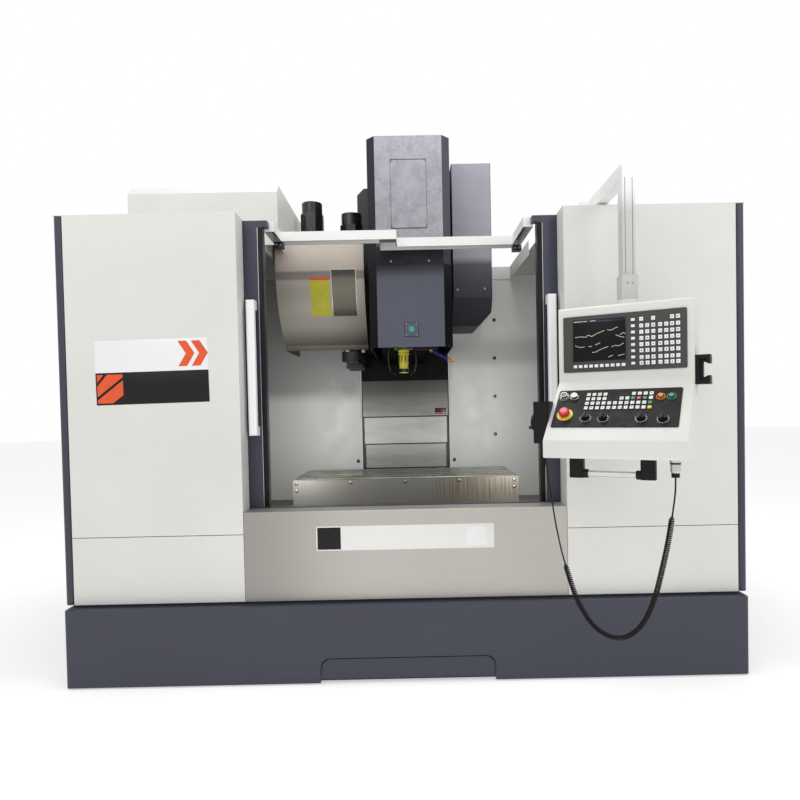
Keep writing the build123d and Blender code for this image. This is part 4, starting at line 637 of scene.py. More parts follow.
# Each finish by name: its maker, its colour, shaded colour or tones, and the maker's options
FINISHES = {
    "Cream enamel": (enamel, "cream", {}),
    "Wall enamel": (wall_paint, WALL_PAINTED_LIGHT, {}),
    "Slate enamel": (enamel, "slate", {"rough": (0.30, 0.42)}),
    "Lower cover paint": (graded, LOWER_COVER_PAINTED_LIGHT, {**LOWER_FLANK_SHADE, "mottle": 0.03}),
    "Motor cover paint": (graded, MOTOR_COVER_PAINTED_LIGHT, {**MOTOR_FLANK_SHADE, "mottle": 0.21, "cloud": 17.0}),
    "Side cover paint": (graded, SIDE_COVER_PAINTED_LIGHT, {**SIDE_FLANK_SHADE, "mottle": 0.06}),
    # Column slate painted near black as the shade it stands in
    "Column black": (enamel, (0.12, 0.125, 0.15), {}),
    "Arm grey": (arm_paint, ARM_TONES, {}),
    "Handle white": (enamel, (0.97, 0.97, 0.975), {"blotch": 0.02}),
    "Brushed stainless": (apron_sheet, ("stainless", 0.98), {"end_shade": 0.80}),
    "Beam enamel": (beam_enamel, (0.95, 0.95, 0.94), {"under": (0.36, 0.37, 0.36)}),
    "Upper cover sheet": (rolled_sheet, UPPER_COVER_TONES, {"streak": 0.08, "wiped": 0.30}),
    "Second cover sheet": (rolled_sheet, SECOND_COVER_TONES, {"streak": 0.08, "wiped": 0.20}),
    "Third cover sheet": (rolled_sheet, THIRD_COVER_TONES, {"streak": 0.08, "wiped": 0.20}),
    "Magazine sheet": (rolled_sheet, MAGAZINE_PAINTED_LIGHT, {}),
    "Chute steel": (brushed, ("stainless", 0.72), {"rough": (0.4, 0.55), "metallic": 0.7}),
    "Guard sheet": (stained_guard, "guard", {"stain_from": 0.20}),
    "Table steel": (ground_steel, "ground", {}),
    "Spindle steel": (brushed, ("ground", 1.25), {"along": (60.0, 60.0, 1.0)}),
    "Bolt steel": (brushed, ("ground", 1.3), {"along": (40.0, 40.0, 40.0)}),
    # Black casting painted darker still: partly its own black, partly painted shade under the head
    "Head casting": (cast, (0.035, 0.035, 0.04), {"specular": 0.08}),
    "Black casting": (cast, "casting", {}),
    "Motor black": (moulded, ("casting", 1.1), {"rough": (0.22, 0.36)}),
    "Holder yellow": (moulded, "holder", {"coat": 0.3}),
    "Release teal": (moulded, "teal", {"coat": 0.2}),
    "Hose blue": (hose_plastic, "blue", {"manifold": (0.04, 0.04, 0.045), "joint": 1.509}),
    "Hose orange": (moulded, "orange", {"coat": 0.15}),
    "Pipe steel": (brushed, (0.26, 0.26, 0.255), {"along": (30.0, 30.0, 30.0), "metallic": 0.6}),
    "Brass": (brushed, "brass", {"along": (30.0, 30.0, 30.0)}),
    "Window sheet": (clear_pane, (0.80, 0.86, 0.86), {}),
    "Satin aluminium": (brushed, "aluminium", {"along": (60.0, 60.0, 1.0), "metallic": 0.8}),
    "Bezel plastic": (moulded, "bezel", {}),
    "Operator face": (moulded, "operator", {"rough": (0.45, 0.6), "specular": 0.15}),
    "Key cap": (moulded, "key", {}),
    "Black plastic": (moulded, "black", {"specular": 0.2}),
    "Stop red": (moulded, "red", {"coat": 0.35}),
    "Stop ring": (moulded, "ring", {}),
    "Start green": (moulded, "green", {"coat": 0.25}),
    "Hold orange": (moulded, "orange", {"coat": 0.25}),
    "Display glass": (moulded, (0.05, 0.06, 0.05), {"rough": (0.35, 0.45), "specular": 0.15}),
    "Display trace": (moulded, (0.82, 0.84, 0.82), {}),
    "Display blue": (moulded, (0.30, 0.31, 0.46), {"rough": (0.2, 0.3)}),
    "Rim grey": (moulded, ("bezel", 0.72), {}),
    "Plate white": (enamel, (0.93, 0.93, 0.935), {"rough": (0.25, 0.35), "blotch": 0.004, "coat": 0.2}),
    "Plate black": (moulded, BLACK_SHEET, {"rough": (0.3, 0.4), "specular": 0.25}),
    "Plate orange": (moulded, (0.88, 0.31, 0.09), {"rough": (0.25, 0.35), "coat": 0.2}),
    "Plate film": (enamel, (0.91, 0.905, 0.895), {"rough": (0.22, 0.34), "blotch": 0.004, "coat": 0.2}),
    "Label yellow": (moulded, (0.80, 0.77, 0.14), {"rough": (0.3, 0.45)}),
    "Drum plate": (tinted_plate, WINDOW_TONES, {}),
    "Print white": (moulded, (0.86, 0.86, 0.84), {}),
    "Cord black": (moulded, "black", {"rough": (0.42, 0.55), "specular": 0.25}),
}


def set_color(color):
    """Colour of a finish: a named one, a named one with its shade, or the value itself."""
    if isinstance(color, str):
        return tuple(getattr(colors(), color))
    if isinstance(color[0], str):
        return shade(getattr(colors(), color[0]), color[1])
    return color


def finish(name):
    """The named finish, made the first time that a piece asks for it."""
    if name not in bpy.data.materials:
        maker, color, options = FINISHES[name]
        maker(name, set_color(color), **options)
    return bpy.data.materials[name]


# Which finish each solid wears
SOLID_FINISHES = {
    "Beam enamel": ("tie_beam",),
    "Cream enamel": ("front_panels", "roof_panels", "magazine_hood", "pendant_box", "electrical_cabinet",
                     "cabinet_door"),
    "Wall enamel": ("back_panels",),
    "Slate enamel": ("base_skirt", "coolant_tank", "side_panels", "left_door", "right_door", "door_rails"),
    "Lower cover paint": ("head_lower_cover",),
    "Motor cover paint": ("head_motor_cover",),
    "Side cover paint": ("column_side_cover",),
    "Column black": ("column",),
    "Arm grey": ("swing_arm",),
    "Handle white": ("left_handle", "right_handle"),
    "Brushed stainless": ("front_apron",),
    "Upper cover sheet": ("z_cover_upper",),
    "Second cover sheet": ("z_cover_second",),
    "Third cover sheet": ("z_cover_third", "z_cover_fixed"),
    "Magazine sheet": ("magazine_cover",),
    "Chute steel": ("chip_chutes",),
    "Guard sheet": ("table_guard",),
    "Table steel": ("work_table",),
    "Spindle steel": ("spindle",),
    "Head casting": ("spindle_head",),
    "Black casting": ("machine_bed", "saddle", "changer_frame", "exchange_arm", "magazine_disc"),
    "Motor black": ("drive_motors", "leveling_feet"),
    "Holder yellow": ("tool_holder",),
    "Release teal": ("tool_release_button",),
    "Hose blue": ("coolant_hose",),
    "Window sheet": ("left_window", "right_window"),
    "Bezel plastic": ("screen_panel",),
    "Operator face": ("operator_panel",),
    "Black plastic": ("grab_handle", "pendant_fittings", "handwheel_unit", "mode_knob", "feed_knob",
                      "rapid_knob", "spindle_knob"),
    "Stop red": ("emergency_stop",),
    "Start green": ("start_button",),
    "Hold orange": ("hold_button",),
    "Cord black": ("cord_lead_in", "coil_cord", "cord_lead_out"),
}


class MACHINE_OT_paint_solids(bpy.types.Operator):
    """Give every solid of the machine its finish"""

    bl_idname = "machine.paint_solids"
    bl_label = "Paint Solids"

    def execute(self, context):
        for finish_name, names in SOLID_FINISHES.items():
            for name in names:
                for slot in NODES[name].material_slots:
                    slot.material = finish(finish_name)
        return {"FINISHED"}


def basis(origin, right, up, out):
    """Matrix of a plane: right, up and outward directions at an origin."""
    return Matrix.Translation(origin) @ Matrix((right, up, out)).transposed().to_4x4()


UP = Vector((0, 0, 1))
SLOPE_DROP = 0.218
SLOPE_REACH = 0.220
SLOPE_OUT = (PENDANT_OUT * SLOPE_DROP + UP * SLOPE_REACH).normalized()
FACE = basis(on_pendant(0, 0, 0), PENDANT_RIGHT, UP, PENDANT_OUT)
SLOPE = basis(on_pendant(0, 0, FOLD_Z), PENDANT_RIGHT, SLOPE_OUT.cross(PENDANT_RIGHT), SLOPE_OUT)
PLATE = 0.004
PLATE_FOOT = PLATE + 0.0002
PRINT_LOW = PLATE - 0.0002
PRINT_HIGH = PLATE + 0.0003
CAP_TOP = 0.0073
CAP_BEVEL = 0.0011

# Width and height of each kind of key cap
SOFT_CAP = (0.0140, 0.0116)
SIDE_CAP = (0.0140, 0.0104)
SQUARE_CAP = (0.0141, 0.0146)
SMALL_CAP = (0.0138, 0.0158)


def spread(first, last, count):
    return [first + (last - first) * step / (count - 1) for step in range(count)]


def add_caps(bm, places, cap):
    """Key caps in a plane, each a pillow over its key."""
    width, height = cap
    for x, y in places:
        low = (x - width / 2, y - height / 2, PLATE_FOOT)
        add_box(bm, low, (x + width / 2, y + height / 2, CAP_TOP), bevel=CAP_BEVEL)


def add_marks(bm, places):
    """A plain printed mark on each key cap: dot, bar or short pair, in turn."""
    for index, (x, y) in enumerate(places):
        for dx, dy, wide, tall in KEY_MARKS[index % len(KEY_MARKS)]:
            low = (x + dx - wide / 2, y + dy - tall / 2, CAP_TOP - 0.0003)
            add_box(bm, low, (x + dx + wide / 2, y + dy + tall / 2, CAP_TOP + 0.0001))


# Marks as (across, up, width, height) on a cap
KEY_MARKS = (
    ((0, 0.0005, 0.0055, 0.0012), (0, -0.002, 0.0055, 0.0012)),
    ((-0.0015, 0, 0.0014, 0.005), (0.0018, 0, 0.0014, 0.005)),
    ((0, 0, 0.005, 0.0045),),
    ((0, 0.0015, 0.0052, 0.0012), (0, -0.0012, 0.0012, 0.004)),
    ((0, 0, 0.0012, 0.0055), (0.0005, 0, 0.0052, 0.0012)),
)

SOFT_KEYS = [(x, 1.338) for x in spread(-0.180, 0.002, 10)]
SIDE_KEYS = [(0.037, z) for z in spread(1.504, 1.341, 8)]
LETTER_COLUMNS = (0.067, 0.088, 0.109)
NUMBER_COLUMNS = (0.133, 0.154, 0.174, 0.194)
KEY_ROWS = spread(1.479, 1.387, 5)
LOW_ROWS = (1.362, 1.341)
LETTER_KEYS = [(x, z) for z in KEY_ROWS for x in LETTER_COLUMNS]
NUMBER_KEYS = [(x, z) for z in KEY_ROWS for x in NUMBER_COLUMNS]
LOW_KEYS = [(x, z) for z in LOW_ROWS for x in LETTER_COLUMNS + NUMBER_COLUMNS]
SHORT_KEYS = [(x, 1.504) for x in (0.067, 0.109, 0.174, 0.194)]
SQUARE_KEYS = LETTER_KEYS + NUMBER_KEYS + LOW_KEYS + SHORT_KEYS
SMALL_COLUMNS = spread(-0.115, 0.110, 12)
SMALL_ROWS = (-0.080, -0.103, -0.127, -0.151)

# Keys of the operator plate: column range of each row that is pale, and the coloured ones
PALE_SPANS = ((0, 4, 0), (8, 12, 0), (0, 4, 1), (6, 8, 1), (11, 12, 1), (0, 11, 2), (0, 11, 3))
COLORED_KEYS = (
    ("green_keys", ((8, 1), (10, 1), (11, 2)), "Start green"),
    ("red_keys", ((9, 1),), "Stop red"),
    ("yellow_keys", ((11, 3),), "Stop ring"),
)


def small_places(cells):
    return [(SMALL_COLUMNS[column], SMALL_ROWS[row]) for column, row in cells]


class MACHINE_OT_fit_keys(bpy.types.Operator):
    """Fit the key caps of the screen panel and the operator plate"""

    bl_idname = "machine.fit_keys"
    bl_label = "Fit Keys"

    def execute(self, context):
        pale = small_places((column, row) for start, stop, row in PALE_SPANS for column in range(start, stop))
        with Piece("key_caps", "pendant", "operator_face", "Key cap") as caps:
            with Placed(caps, FACE):
                add_caps(caps, SOFT_KEYS, SOFT_CAP)
                add_caps(caps, SIDE_KEYS, SIDE_CAP)
                add_caps(caps, SQUARE_KEYS, SQUARE_CAP)
            with Placed(caps, SLOPE):
                add_caps(caps, pale, SMALL_CAP)
        with Piece("key_marks", "pendant", "operator_face", "Bezel plastic") as marks:
            with Placed(marks, FACE):
                add_marks(marks, SQUARE_KEYS)
            with Placed(marks, SLOPE):
                add_marks(marks, pale)
        for name, cells, finish_name in COLORED_KEYS:
            with Piece(name, "pendant", "operator_face", finish_name, SLOPE) as caps:
                add_caps(caps, small_places(cells), SMALL_CAP)
        return {"FINISHED"}


DISPLAY_LOW = (-0.188, 1.357)
DISPLAY_HIGH = (0.010, 1.516)
DISPLAY_BACK = 0.002
GLASS_FACE = DISPLAY_BACK + 0.0008
GLASS_INSET = 0.0006
TRACE_LOW = GLASS_FACE - 0.0001
TRACE_HIGH = TRACE_LOW + 0.0003
TRACE_WIDTH = 0.0019
TITLE_WIDTH = 0.0026
TITLE_SHARE = 0.975
DISPLAY_RIM = 0.0045

# Traces on the display, as shares of its width and height from its lower left corner
TRACE_SHARES = (
    ((0.04, 0.60), (0.14, 0.61), (0.25, 0.59), (0.29, 0.64), (0.36, 0.60), (0.46, 0.66), (0.60, 0.72)),
    ((0.66, 0.73), (0.74, 0.72), (0.80, 0.76), (0.85, 0.78)),
    ((0.04, 0.40), (0.10, 0.36), (0.16, 0.35), (0.22, 0.36)),
    ((0.30, 0.36), (0.36, 0.36)),
    ((0.43, 0.39), (0.52, 0.43)),
    ((0.37, 0.21), (0.44, 0.22), (0.56, 0.29), (0.67, 0.33)),
    ((0.74, 0.32), (0.80, 0.35), (0.87, 0.33), (0.96, 0.39)),
    ((0.82, 0.60), (0.90, 0.55), (0.97, 0.53)),
    ((0.90, 0.60), (0.96, 0.64), (0.99, 0.61)),
    ((0.68, 0.08), (0.76, 0.12)),
    ((0.86, 0.10), (0.97, 0.13)),
)
TITLE_BARS = ((0.02, 0.17), (0.20, 0.26), (0.34, 0.43))


def on_display(share_x, share_y):
    x = DISPLAY_LOW[0] + (DISPLAY_HIGH[0] - DISPLAY_LOW[0]) * share_x
    y = DISPLAY_LOW[1] + (DISPLAY_HIGH[1] - DISPLAY_LOW[1]) * share_y
    return x, y


def add_stroke(bm, points, width, low, high):
    """Flat stroke through points in a plane."""
    for (ax, ay), (bx, by) in zip(points, points[1:]):
        run = math.hypot(bx - ax, by - ay)
        turn = Matrix.Rotation(math.atan2(by - ay, bx - ax), 4, "Z")
        with Placed(bm, Matrix.Translation((ax, ay, 0)) @ turn):
            add_box(bm, (-width / 2, -width / 2, low), (run + width / 2, width / 2, high))


class MACHINE_OT_fit_screen(bpy.types.Operator):
    """Fit the display glass with its traces, and the bezel's frame lines"""

    bl_idname = "machine.fit_screen"
    bl_label = "Fit Screen"

    def execute(self, context):
        left, bottom = DISPLAY_LOW
        right, top = DISPLAY_HIGH
        with Piece("display_glass", "pendant", "bezel", "Display glass", FACE) as glass:
            low = (left + GLASS_INSET, bottom + GLASS_INSET, DISPLAY_BACK)
            add_box(glass, low, (right - GLASS_INSET, top - GLASS_INSET, GLASS_FACE), bevel=0.0003)
        with Piece("display_traces", "pendant", "bezel", "Display trace", FACE) as traces:
            for line in TRACE_SHARES:
                add_stroke(traces, [on_display(*share) for share in line], TRACE_WIDTH, TRACE_LOW, TRACE_HIGH)
            for bar in TITLE_BARS:
                ends = [on_display(share, TITLE_SHARE) for share in bar]
                add_stroke(traces, ends, TITLE_WIDTH, TRACE_LOW, TRACE_HIGH)
        with Piece("display_title", "pendant", "bezel", "Display blue", FACE) as title:
            low = (*on_display(0.005, 0.945), TRACE_LOW - 0.0002)
            add_box(title, low, (*on_display(0.995, 0.994), TRACE_LOW + 0.0001))
        with Piece("display_rim", "pendant", "bezel", "Rim grey", FACE) as rim:
            for low, high in (
                ((left - DISPLAY_RIM, bottom - DISPLAY_RIM), (left, top + DISPLAY_RIM)),
                ((right, bottom - DISPLAY_RIM), (right + DISPLAY_RIM, top + DISPLAY_RIM)),
                ((left, bottom - DISPLAY_RIM), (right, bottom)),
                ((left, top), (right, top + DISPLAY_RIM)),
            ):
                add_box(rim, (*low, PLATE - 0.0003), (*high, PLATE + 0.0010), bevel=0.0005)
        return {"FINISHED"}


STOP_PLACE = (-0.188, -0.184)
HOLD_PLACE = (0.143, -0.099)
START_PLACE = (0.179, -0.100)
LOCK_PLACE = (-0.208, -0.087)
LAMP_PLACE = (-0.168, -0.092)
KNOB_PLACES = ((-0.109, -0.201), (-0.045, -0.202), (0.087, -0.204), (0.160, -0.208))
COLLAR_TOP = 0.007
LOCK_TOP = 0.018
LENS_PROFILE = (
    (0, LOCK_TOP - 0.001), (0.0086, LOCK_TOP - 0.001), (0.0086, LOCK_TOP + 0.001),
    (0.006, LOCK_TOP + 0.0026), (0, LOCK_TOP + 0.0032),
)
LOCK_PROFILE = ((0, LOCK_TOP), (0.0086, LOCK_TOP), (0.0082, LOCK_TOP + 0.0006), (0, LOCK_TOP + 0.0006))
COLLARS = (
    ("hold_collar", HOLD_PLACE, "hold_orange", "Hold orange"),
    ("start_collar", START_PLACE, "start_green", "Start green"),
)


def add_ring(bm, place, inner, outer, low, high, sides=32):
    """Flat ring in a plane, its rims broken."""
    edge = min(outer - inner, high - low) * 0.2
    profile = [
        (inner, low), (outer, low), (outer, high - edge), (outer - edge, high), (inner + edge, high),
        (inner, high - edge), (inner, low),
    ]
    add_turned(bm, profile, (*place, 0), UP, sides)


def add_scale(bm, place, radius=0.0185, tick=0.004, ticks=11):
    """Printed scale round a knob: an arc with ticks that leaves the top open."""
    start = math.radians(-225)
    step = math.radians(270) / (ticks - 1)
    arc = []
    for count in range(ticks):
        spoke = Vector((math.cos(start + step * count), math.sin(start + step * count)))
        near = Vector(place) + spoke * radius
        add_stroke(bm, [near, near + spoke * tick], 0.0009, PRINT_LOW, PRINT_HIGH)
        arc.append(near)
    add_stroke(bm, arc, 0.0011, PRINT_LOW, PRINT_HIGH)


class MACHINE_OT_fit_controls(bpy.types.Operator):
    """Fit the collars, scales and trims of the operator plate's buttons and knobs"""

    bl_idname = "machine.fit_controls"
    bl_label = "Fit Controls"

    def execute(self, context):
        with Piece("stop_collar", "pendant", "operator_face", "Stop ring", SLOPE) as ring:
            add_ring(ring, STOP_PLACE, 0.0145, 0.0300, PLATE_FOOT, COLLAR_TOP + 0.0004)
        with Piece("button_trims", "pendant", "operator_face", "Bolt steel", SLOPE) as trims:
            for place in (LOCK_PLACE, LAMP_PLACE):
                add_ring(trims, place, 0.0088, 0.0128, PLATE_FOOT, LOCK_TOP + 0.0008)
                add_ring(trims, place, 0.0120, 0.0155, PLATE_FOOT, PLATE + 0.003)
        for name, place, slot, finish_name in COLLARS:
            with Piece(name, "pendant", slot, finish_name, SLOPE) as collar:
                add_ring(collar, place, 0.0132, 0.0160, PLATE_FOOT, COLLAR_TOP + 0.0012)
        with Piece("lamp_lens", "pendant", "operator_face", "Key cap", SLOPE) as lens:
            add_turned(lens, LENS_PROFILE, (*LAMP_PLACE, 0), UP, 24)
        with Piece("lock_face", "pendant", "operator_face", "Black plastic", SLOPE) as lock:
            add_turned(lock, LOCK_PROFILE, (*LOCK_PLACE, 0), UP, 24)
        with Piece("lock_slot", "pendant", "operator_face", "Satin aluminium", SLOPE) as blade:
            x, y = LOCK_PLACE
            low = (x - 0.0010, y - 0.0045, LOCK_TOP + 0.0002)
            add_box(blade, low, (x + 0.0010, y + 0.0045, LOCK_TOP + 0.0012), bevel=0.0003)
        with Piece("knob_scales", "pendant", "operator_face", "Print white", SLOPE) as scales:
            for place in KNOB_PLACES:
                add_scale(scales, place)
            add_ring(scales, LOCK_PLACE, 0.0178, 0.0192, PRINT_LOW, PRINT_HIGH)
        return {"FINISHED"}


TOWARDS = Vector((0, -1, 0))
FRONT = basis(Vector((0, FRONT_Y, 0)), Vector((1, 0, 0)), UP, TOWARDS)

# How far the foot of a fitting is sunk into the face that carries it
SINK = 0.0003


def front_at(depth):
    """Plane that faces the front at a depth, with X across and Z up."""
    return Matrix.Translation((0, depth, 0)) @ FRONT


def add_bolt(bm, place, axis, radius):
    """Socket button-head bolt standing on a face."""
    height = radius * 0.75
    socket = radius * 0.42
    profile = [
        (0, -0.0004), (radius, -0.0004), (radius, height * 0.35), (radius * 0.82, height * 0.8),
        (socket * 1.2, height), (socket, height), (socket, height * 0.45), (0, height * 0.45),
    ]
    add_turned(bm, profile, place, axis, 14)


# Bolts on faces that look to the front, as (across, height)
WALL_FACE = 1.420
WALL_BOLTS = ((0.596, 1.758), (0.595, 1.508), (0.594, 1.257), (0.593, 1.006), (-0.318, 0.845), (0.318, 0.842))
GUARD_FACE = 0.602
GUARD_BOLTS = (
    (-0.2925, 0.800), (-0.002, 0.800), (0.2835, 0.800), (-0.583, 0.797), (-0.584, 0.760), (0.578, 0.797),
    (0.578, 0.760),
)
MOTOR_COVER_FACE = 0.562
HEAD_SCREWS = ((-0.054, 1.957), (0.145, 1.957))
TOWER_FACE = 0.900
TOWER_SCREWS = ((0.318, 1.864), (0.476, 1.866))
BUTTON_PLATE_FACE = 0.556
PLATE_SCREWS = ((0.018, 1.571), (0.076, 1.571), (0.018, 1.631), (0.076, 1.631))


class MACHINE_OT_fit_bolts(bpy.types.Operator):
    """Fit the bolts of the wall, the table guard, the head and the column cover"""

    bl_idname = "machine.fit_bolts"
    bl_label = "Fit Bolts"

    def execute(self, context):
        bolt = sizes().bolt
        screw = sizes().screw
        steel = ("spindle_steel", "Bolt steel")
        for name, places, depth, radius, body, look in (
            ("wall_bolts", WALL_BOLTS, WALL_FACE, bolt * 1.25, "root", ("changer_black", "Motor black")),
            ("guard_bolts", GUARD_BOLTS, GUARD_FACE, bolt, "table", steel),
            ("head_screws", HEAD_SCREWS, MOTOR_COVER_FACE, screw, "head", steel),
            ("tower_screws", TOWER_SCREWS, TOWER_FACE, screw * 1.3, "root", steel),
            ("button_plate_screws", PLATE_SCREWS, BUTTON_PLATE_FACE, screw * 0.6, "head", steel),
        ):
            with Piece(name, body, *look) as bolts:
                for x, z in places:
                    add_bolt(bolts, (x, at(depth), z), TOWARDS, radius)
        return {"FINISHED"}


# Blank plates on the front: outline corners of each field as (left, bottom, right, top)
PLACARD_PALE = (-1.334, 1.372, -0.843, 1.512)
PLACARD_DARK = (-1.334, 1.232, -0.843, 1.372)
PLACARD_CENTRE = Vector((-1.0885, 1.372, 0))
PLACARD_TILT = math.radians(0.9)
CHEVRON_LEFTS = (-0.972, -0.914)
CHEVRON = ((0, 1.390), (0.038, 1.390), (0.072, 1.445), (0.038, 1.500), (0, 1.500), (0.034, 1.445))
PLACARD_BLOCKS = (
    ((-1.328, 1.330), (-1.300, 1.364), (-1.328, 1.364)),
    ((-1.328, 1.314), (-1.284, 1.364), (-1.216, 1.364), (-1.216, 1.352), (-1.328, 1.268)),
    ((-1.328, 1.240), (-1.262, 1.240), (-1.216, 1.274), (-1.216, 1.338), (-1.328, 1.254)),
)
APRON_PLATE = (-0.392, 0.572, 0.387, 0.679)
APRON_FIELD = (-0.387, 0.577, -0.285, 0.674)
APRON_CORNER = (0.265, 0.585, 0.355, 0.667)
SHEET = 0.0010
FILM = 0.0007


def add_field(bm, corners, low, high, bevel=0.0004):
    """Thin rectangular field on a front plane."""
    left, bottom, right, top = corners
    add_box(bm, (left, bottom, low), (right, top, high), bevel=bevel)


class MACHINE_OT_hang_plates(bpy.types.Operator):
    """Hang the blank placard on the left panel and the blank plate on the apron"""

    bl_idname = "machine.hang_plates"
    bl_label = "Hang Plates"

    def execute(self, context):
        about = Matrix.Translation(PLACARD_CENTRE)
        off_level = FRONT @ about @ Matrix.Rotation(PLACARD_TILT, 4, "Z") @ about.inverted()
        with Piece("placard_pale", "root", "cream_paint", "Plate white", off_level) as pale:
            add_field(pale, PLACARD_PALE, 0.0002, SHEET)
        with Piece("placard_dark", "root", "cream_paint", "Plate black", off_level) as dark:
            add_field(dark, PLACARD_DARK, 0.0002, SHEET)
        with Piece("placard_chevrons", "root", "cream_paint", "Plate orange", off_level) as flags:
            chevrons = [[(left + x, z) for x, z in CHEVRON] for left in CHEVRON_LEFTS]
            with Placed(flags, Matrix.Translation((0, 0, SHEET - SINK))):
                for points in (*chevrons, *PLACARD_BLOCKS):
                    add_outline(flags, points, FILM)
        for name, corners, low, high, finish_name in (
            ("apron_plate", APRON_PLATE, 0.0, SHEET, "Plate film"),
            ("apron_plate_field", APRON_FIELD, SHEET * 0.5, SHEET * 1.4, "Plate black"),
            ("apron_plate_corner", APRON_CORNER, SHEET * 0.5, SHEET * 1.4, "Plate white"),
        ):
            with Piece(name, "root", "stainless", finish_name, FRONT) as plate:
                add_field(plate, corners, low, high)
        return {"FINISHED"}


# The magazine drum's front is an arc about a line across the machine
DRUM_DEPTH = 1.190
DRUM_Z = 1.992
DRUM_RADIUS = 0.490
DRUM_LABEL = (-0.502, 1.713, -0.397, 1.911)
DRUM_WINDOW = (-0.384, 1.713, -0.253, 1.950)
DRUM_RIM = 0.0035
DRUM_RIM_HIGH = 0.0045


def add_drum_plate(bm, corners, low, high, steps=10):
    """Plate bent to the drum: a strip spun about the drum's axis, then given its thickness."""
    left, bottom, right, top = corners
    axis_point = Vector((0, at(DRUM_DEPTH), DRUM_Z))
    first = math.asin((top - DRUM_Z) / DRUM_RADIUS)
    last = math.asin((bottom - DRUM_Z) / DRUM_RADIUS)
    radius = DRUM_RADIUS + low
    start = axis_point + Vector((0, -radius * math.cos(first), radius * math.sin(first)))
    verts = [bm.verts.new((x, start.y, start.z)) for x in (left, right)]
    edge = bm.edges.new(verts)
    bmesh.ops.spin(
        bm, geom=verts + [edge], cent=axis_point, axis=(1, 0, 0), angle=first - last, steps=steps,
        use_merge=False
    )
    bmesh.ops.recalc_face_normals(bm, faces=bm.faces)
    grown = bmesh.ops.extrude_face_region(bm, geom=bm.faces[:])["geom"]
    for vert in [part for part in grown if isinstance(part, bmesh.types.BMVert)]:
        spoke = Vector((0, vert.co.y - axis_point.y, vert.co.z - axis_point.z))
        vert.co += spoke.normalized() * (high - low)


class MACHINE_OT_dress_magazine(bpy.types.Operator):
    """Put the blank label, the plate and its frame on the magazine drum"""

    bl_idname = "machine.dress_magazine"
    bl_label = "Dress Magazine"

    def execute(self, context):
        left, bottom, right, top = DRUM_WINDOW
        out_left = left - DRUM_RIM
        out_right = right + DRUM_RIM
        metal = "Satin aluminium"
        for name, corners, high, finish_name in (
            ("drum_label", DRUM_LABEL, 0.0009, "Label yellow"),
            ("drum_plate", DRUM_WINDOW, 0.0025, "Drum plate"),
            ("drum_frame_left", (out_left, bottom, left, top), DRUM_RIM_HIGH, metal),
            ("drum_frame_right", (right, bottom, out_right, top), DRUM_RIM_HIGH, metal),
            ("drum_frame_top", (out_left, top, out_right, top + DRUM_RIM), DRUM_RIM_HIGH, metal),
            ("drum_frame_bottom", (out_left, bottom - DRUM_RIM, out_right, bottom), DRUM_RIM_HIGH, metal),
        ):
            with Piece(name, "root", "changer_black", finish_name) as plate:
                add_drum_plate(plate, corners, -SINK, high)
        return {"FINISHED"}


def add_pipe(bm, points, radius, sides=10):
    """Bent tube through points, closed at both ends."""
    places = [Vector(point) for point in points]
    rings = []
    for index, place in enumerate(places):
        along = places[min(index + 1, len(places) - 1)] - places[max(index - 1, 0)]
        turn = Vector((0, 0, -1)).rotation_difference(along)
        ring = []
        for step in range(sides):
            angle = math.tau * step / sides
            spoke = Vector((radius * math.cos(angle), radius * math.sin(angle), 0))
            ring.append(bm.verts.new(place + turn @ spoke))
        rings.append(ring)
    for first, second in zip(rings, rings[1:]):
        for step in range(sides):
            after = (step + 1) % sides
            bm.faces.new((first[step], first[after], second[after], second[step]))
    bm.faces.new(rings[0])
    bm.faces.new(list(reversed(rings[-1])))


def eased(points, steps=4):
    """Points of a bent tube: each corner swapped for a short curve."""
    places = [Vector(point) for point in points]
    path = [places[0]]
    for before, corner, after in zip(places, places[1:], places[2:]):
        start = corner.lerp(before, 0.35)
        end = corner.lerp(after, 0.35)
        for step in range(steps + 1):
            share = step / steps
            path.append(start.lerp(corner, share).lerp(corner.lerp(end, share), share))
    path.append(places[-1])
    return path


def add_frame(bm, corners, level_width):
    """Thin seam lines round a rectangle, inside its corners."""
    left, bottom, right, top = corners
    for field in (
        (left, bottom, left + SEAM_WIDTH, top), (right - SEAM_WIDTH, bottom, right, top),
        (left, top - level_width, right, top + SEAM_OVERLAP),
        (left, bottom - SEAM_OVERLAP, right, bottom + level_width),
    ):
        add_field(bm, field, -SINK, 0.0009, bevel=0.0)


# Spindle side: the holder's axis, the pipes that cool its tool, and the hose's line
SPINDLE_DEPTH = 0.840
HOLDER_FLUTES = 9
FLUTE_LOW = (-0.0024, -0.0292, 1.447)
FLUTE_HIGH = (0.0024, -0.0272, 1.488)
HOLDER_RING_Z = 1.392
HOLDER_RING = ((0.0246, 0), (0.0262, 0.002), (0.0262, 0.020), (0.0246, 0.022))
PIPE_RADIUS = 0.0032
LEFT_PIPE = (
    (-0.076, 0.5632, 1.556), (-0.076, 0.640, 1.556), (-0.082, 0.640, 1.440), (-0.070, 0.652, 1.388),
    (-0.040, 0.690, 1.366),
)
RIGHT_PIPE = ((0.066, 0.755, 1.540), (0.070, 0.752, 1.440), (0.062, 0.758, 1.394), (0.036, 0.776, 1.372))
HOSE_START = (0.152, 0.750, 1.509)
HOSE_FALL = math.radians(29)
HOSE_BEADS = 0.108
HOSE_NOZZLE = 0.034
HOSE_NUT = ((0.0075, 0), (0.0128, 0), (0.0128, 0.012), (0.0118, 0.014), (0.0075, 0.014))
HOSE_FLANGE = ((0.006, -0.004), (0.015, -0.004), (0.015, 0.006), (0.006, 0.006))
NOZZLE_PROFILE = (
    (0.0071, 0.000), (0.0102, 0.000), (0.0102, 0.007), (0.0086, 0.009), (0.0060, HOSE_NOZZLE),
    (0.0046, HOSE_NOZZLE + 0.0006), (0.0046, HOSE_NOZZLE - 0.001),
)
GEARBOX_BLOCKS = (-0.340, -0.250)
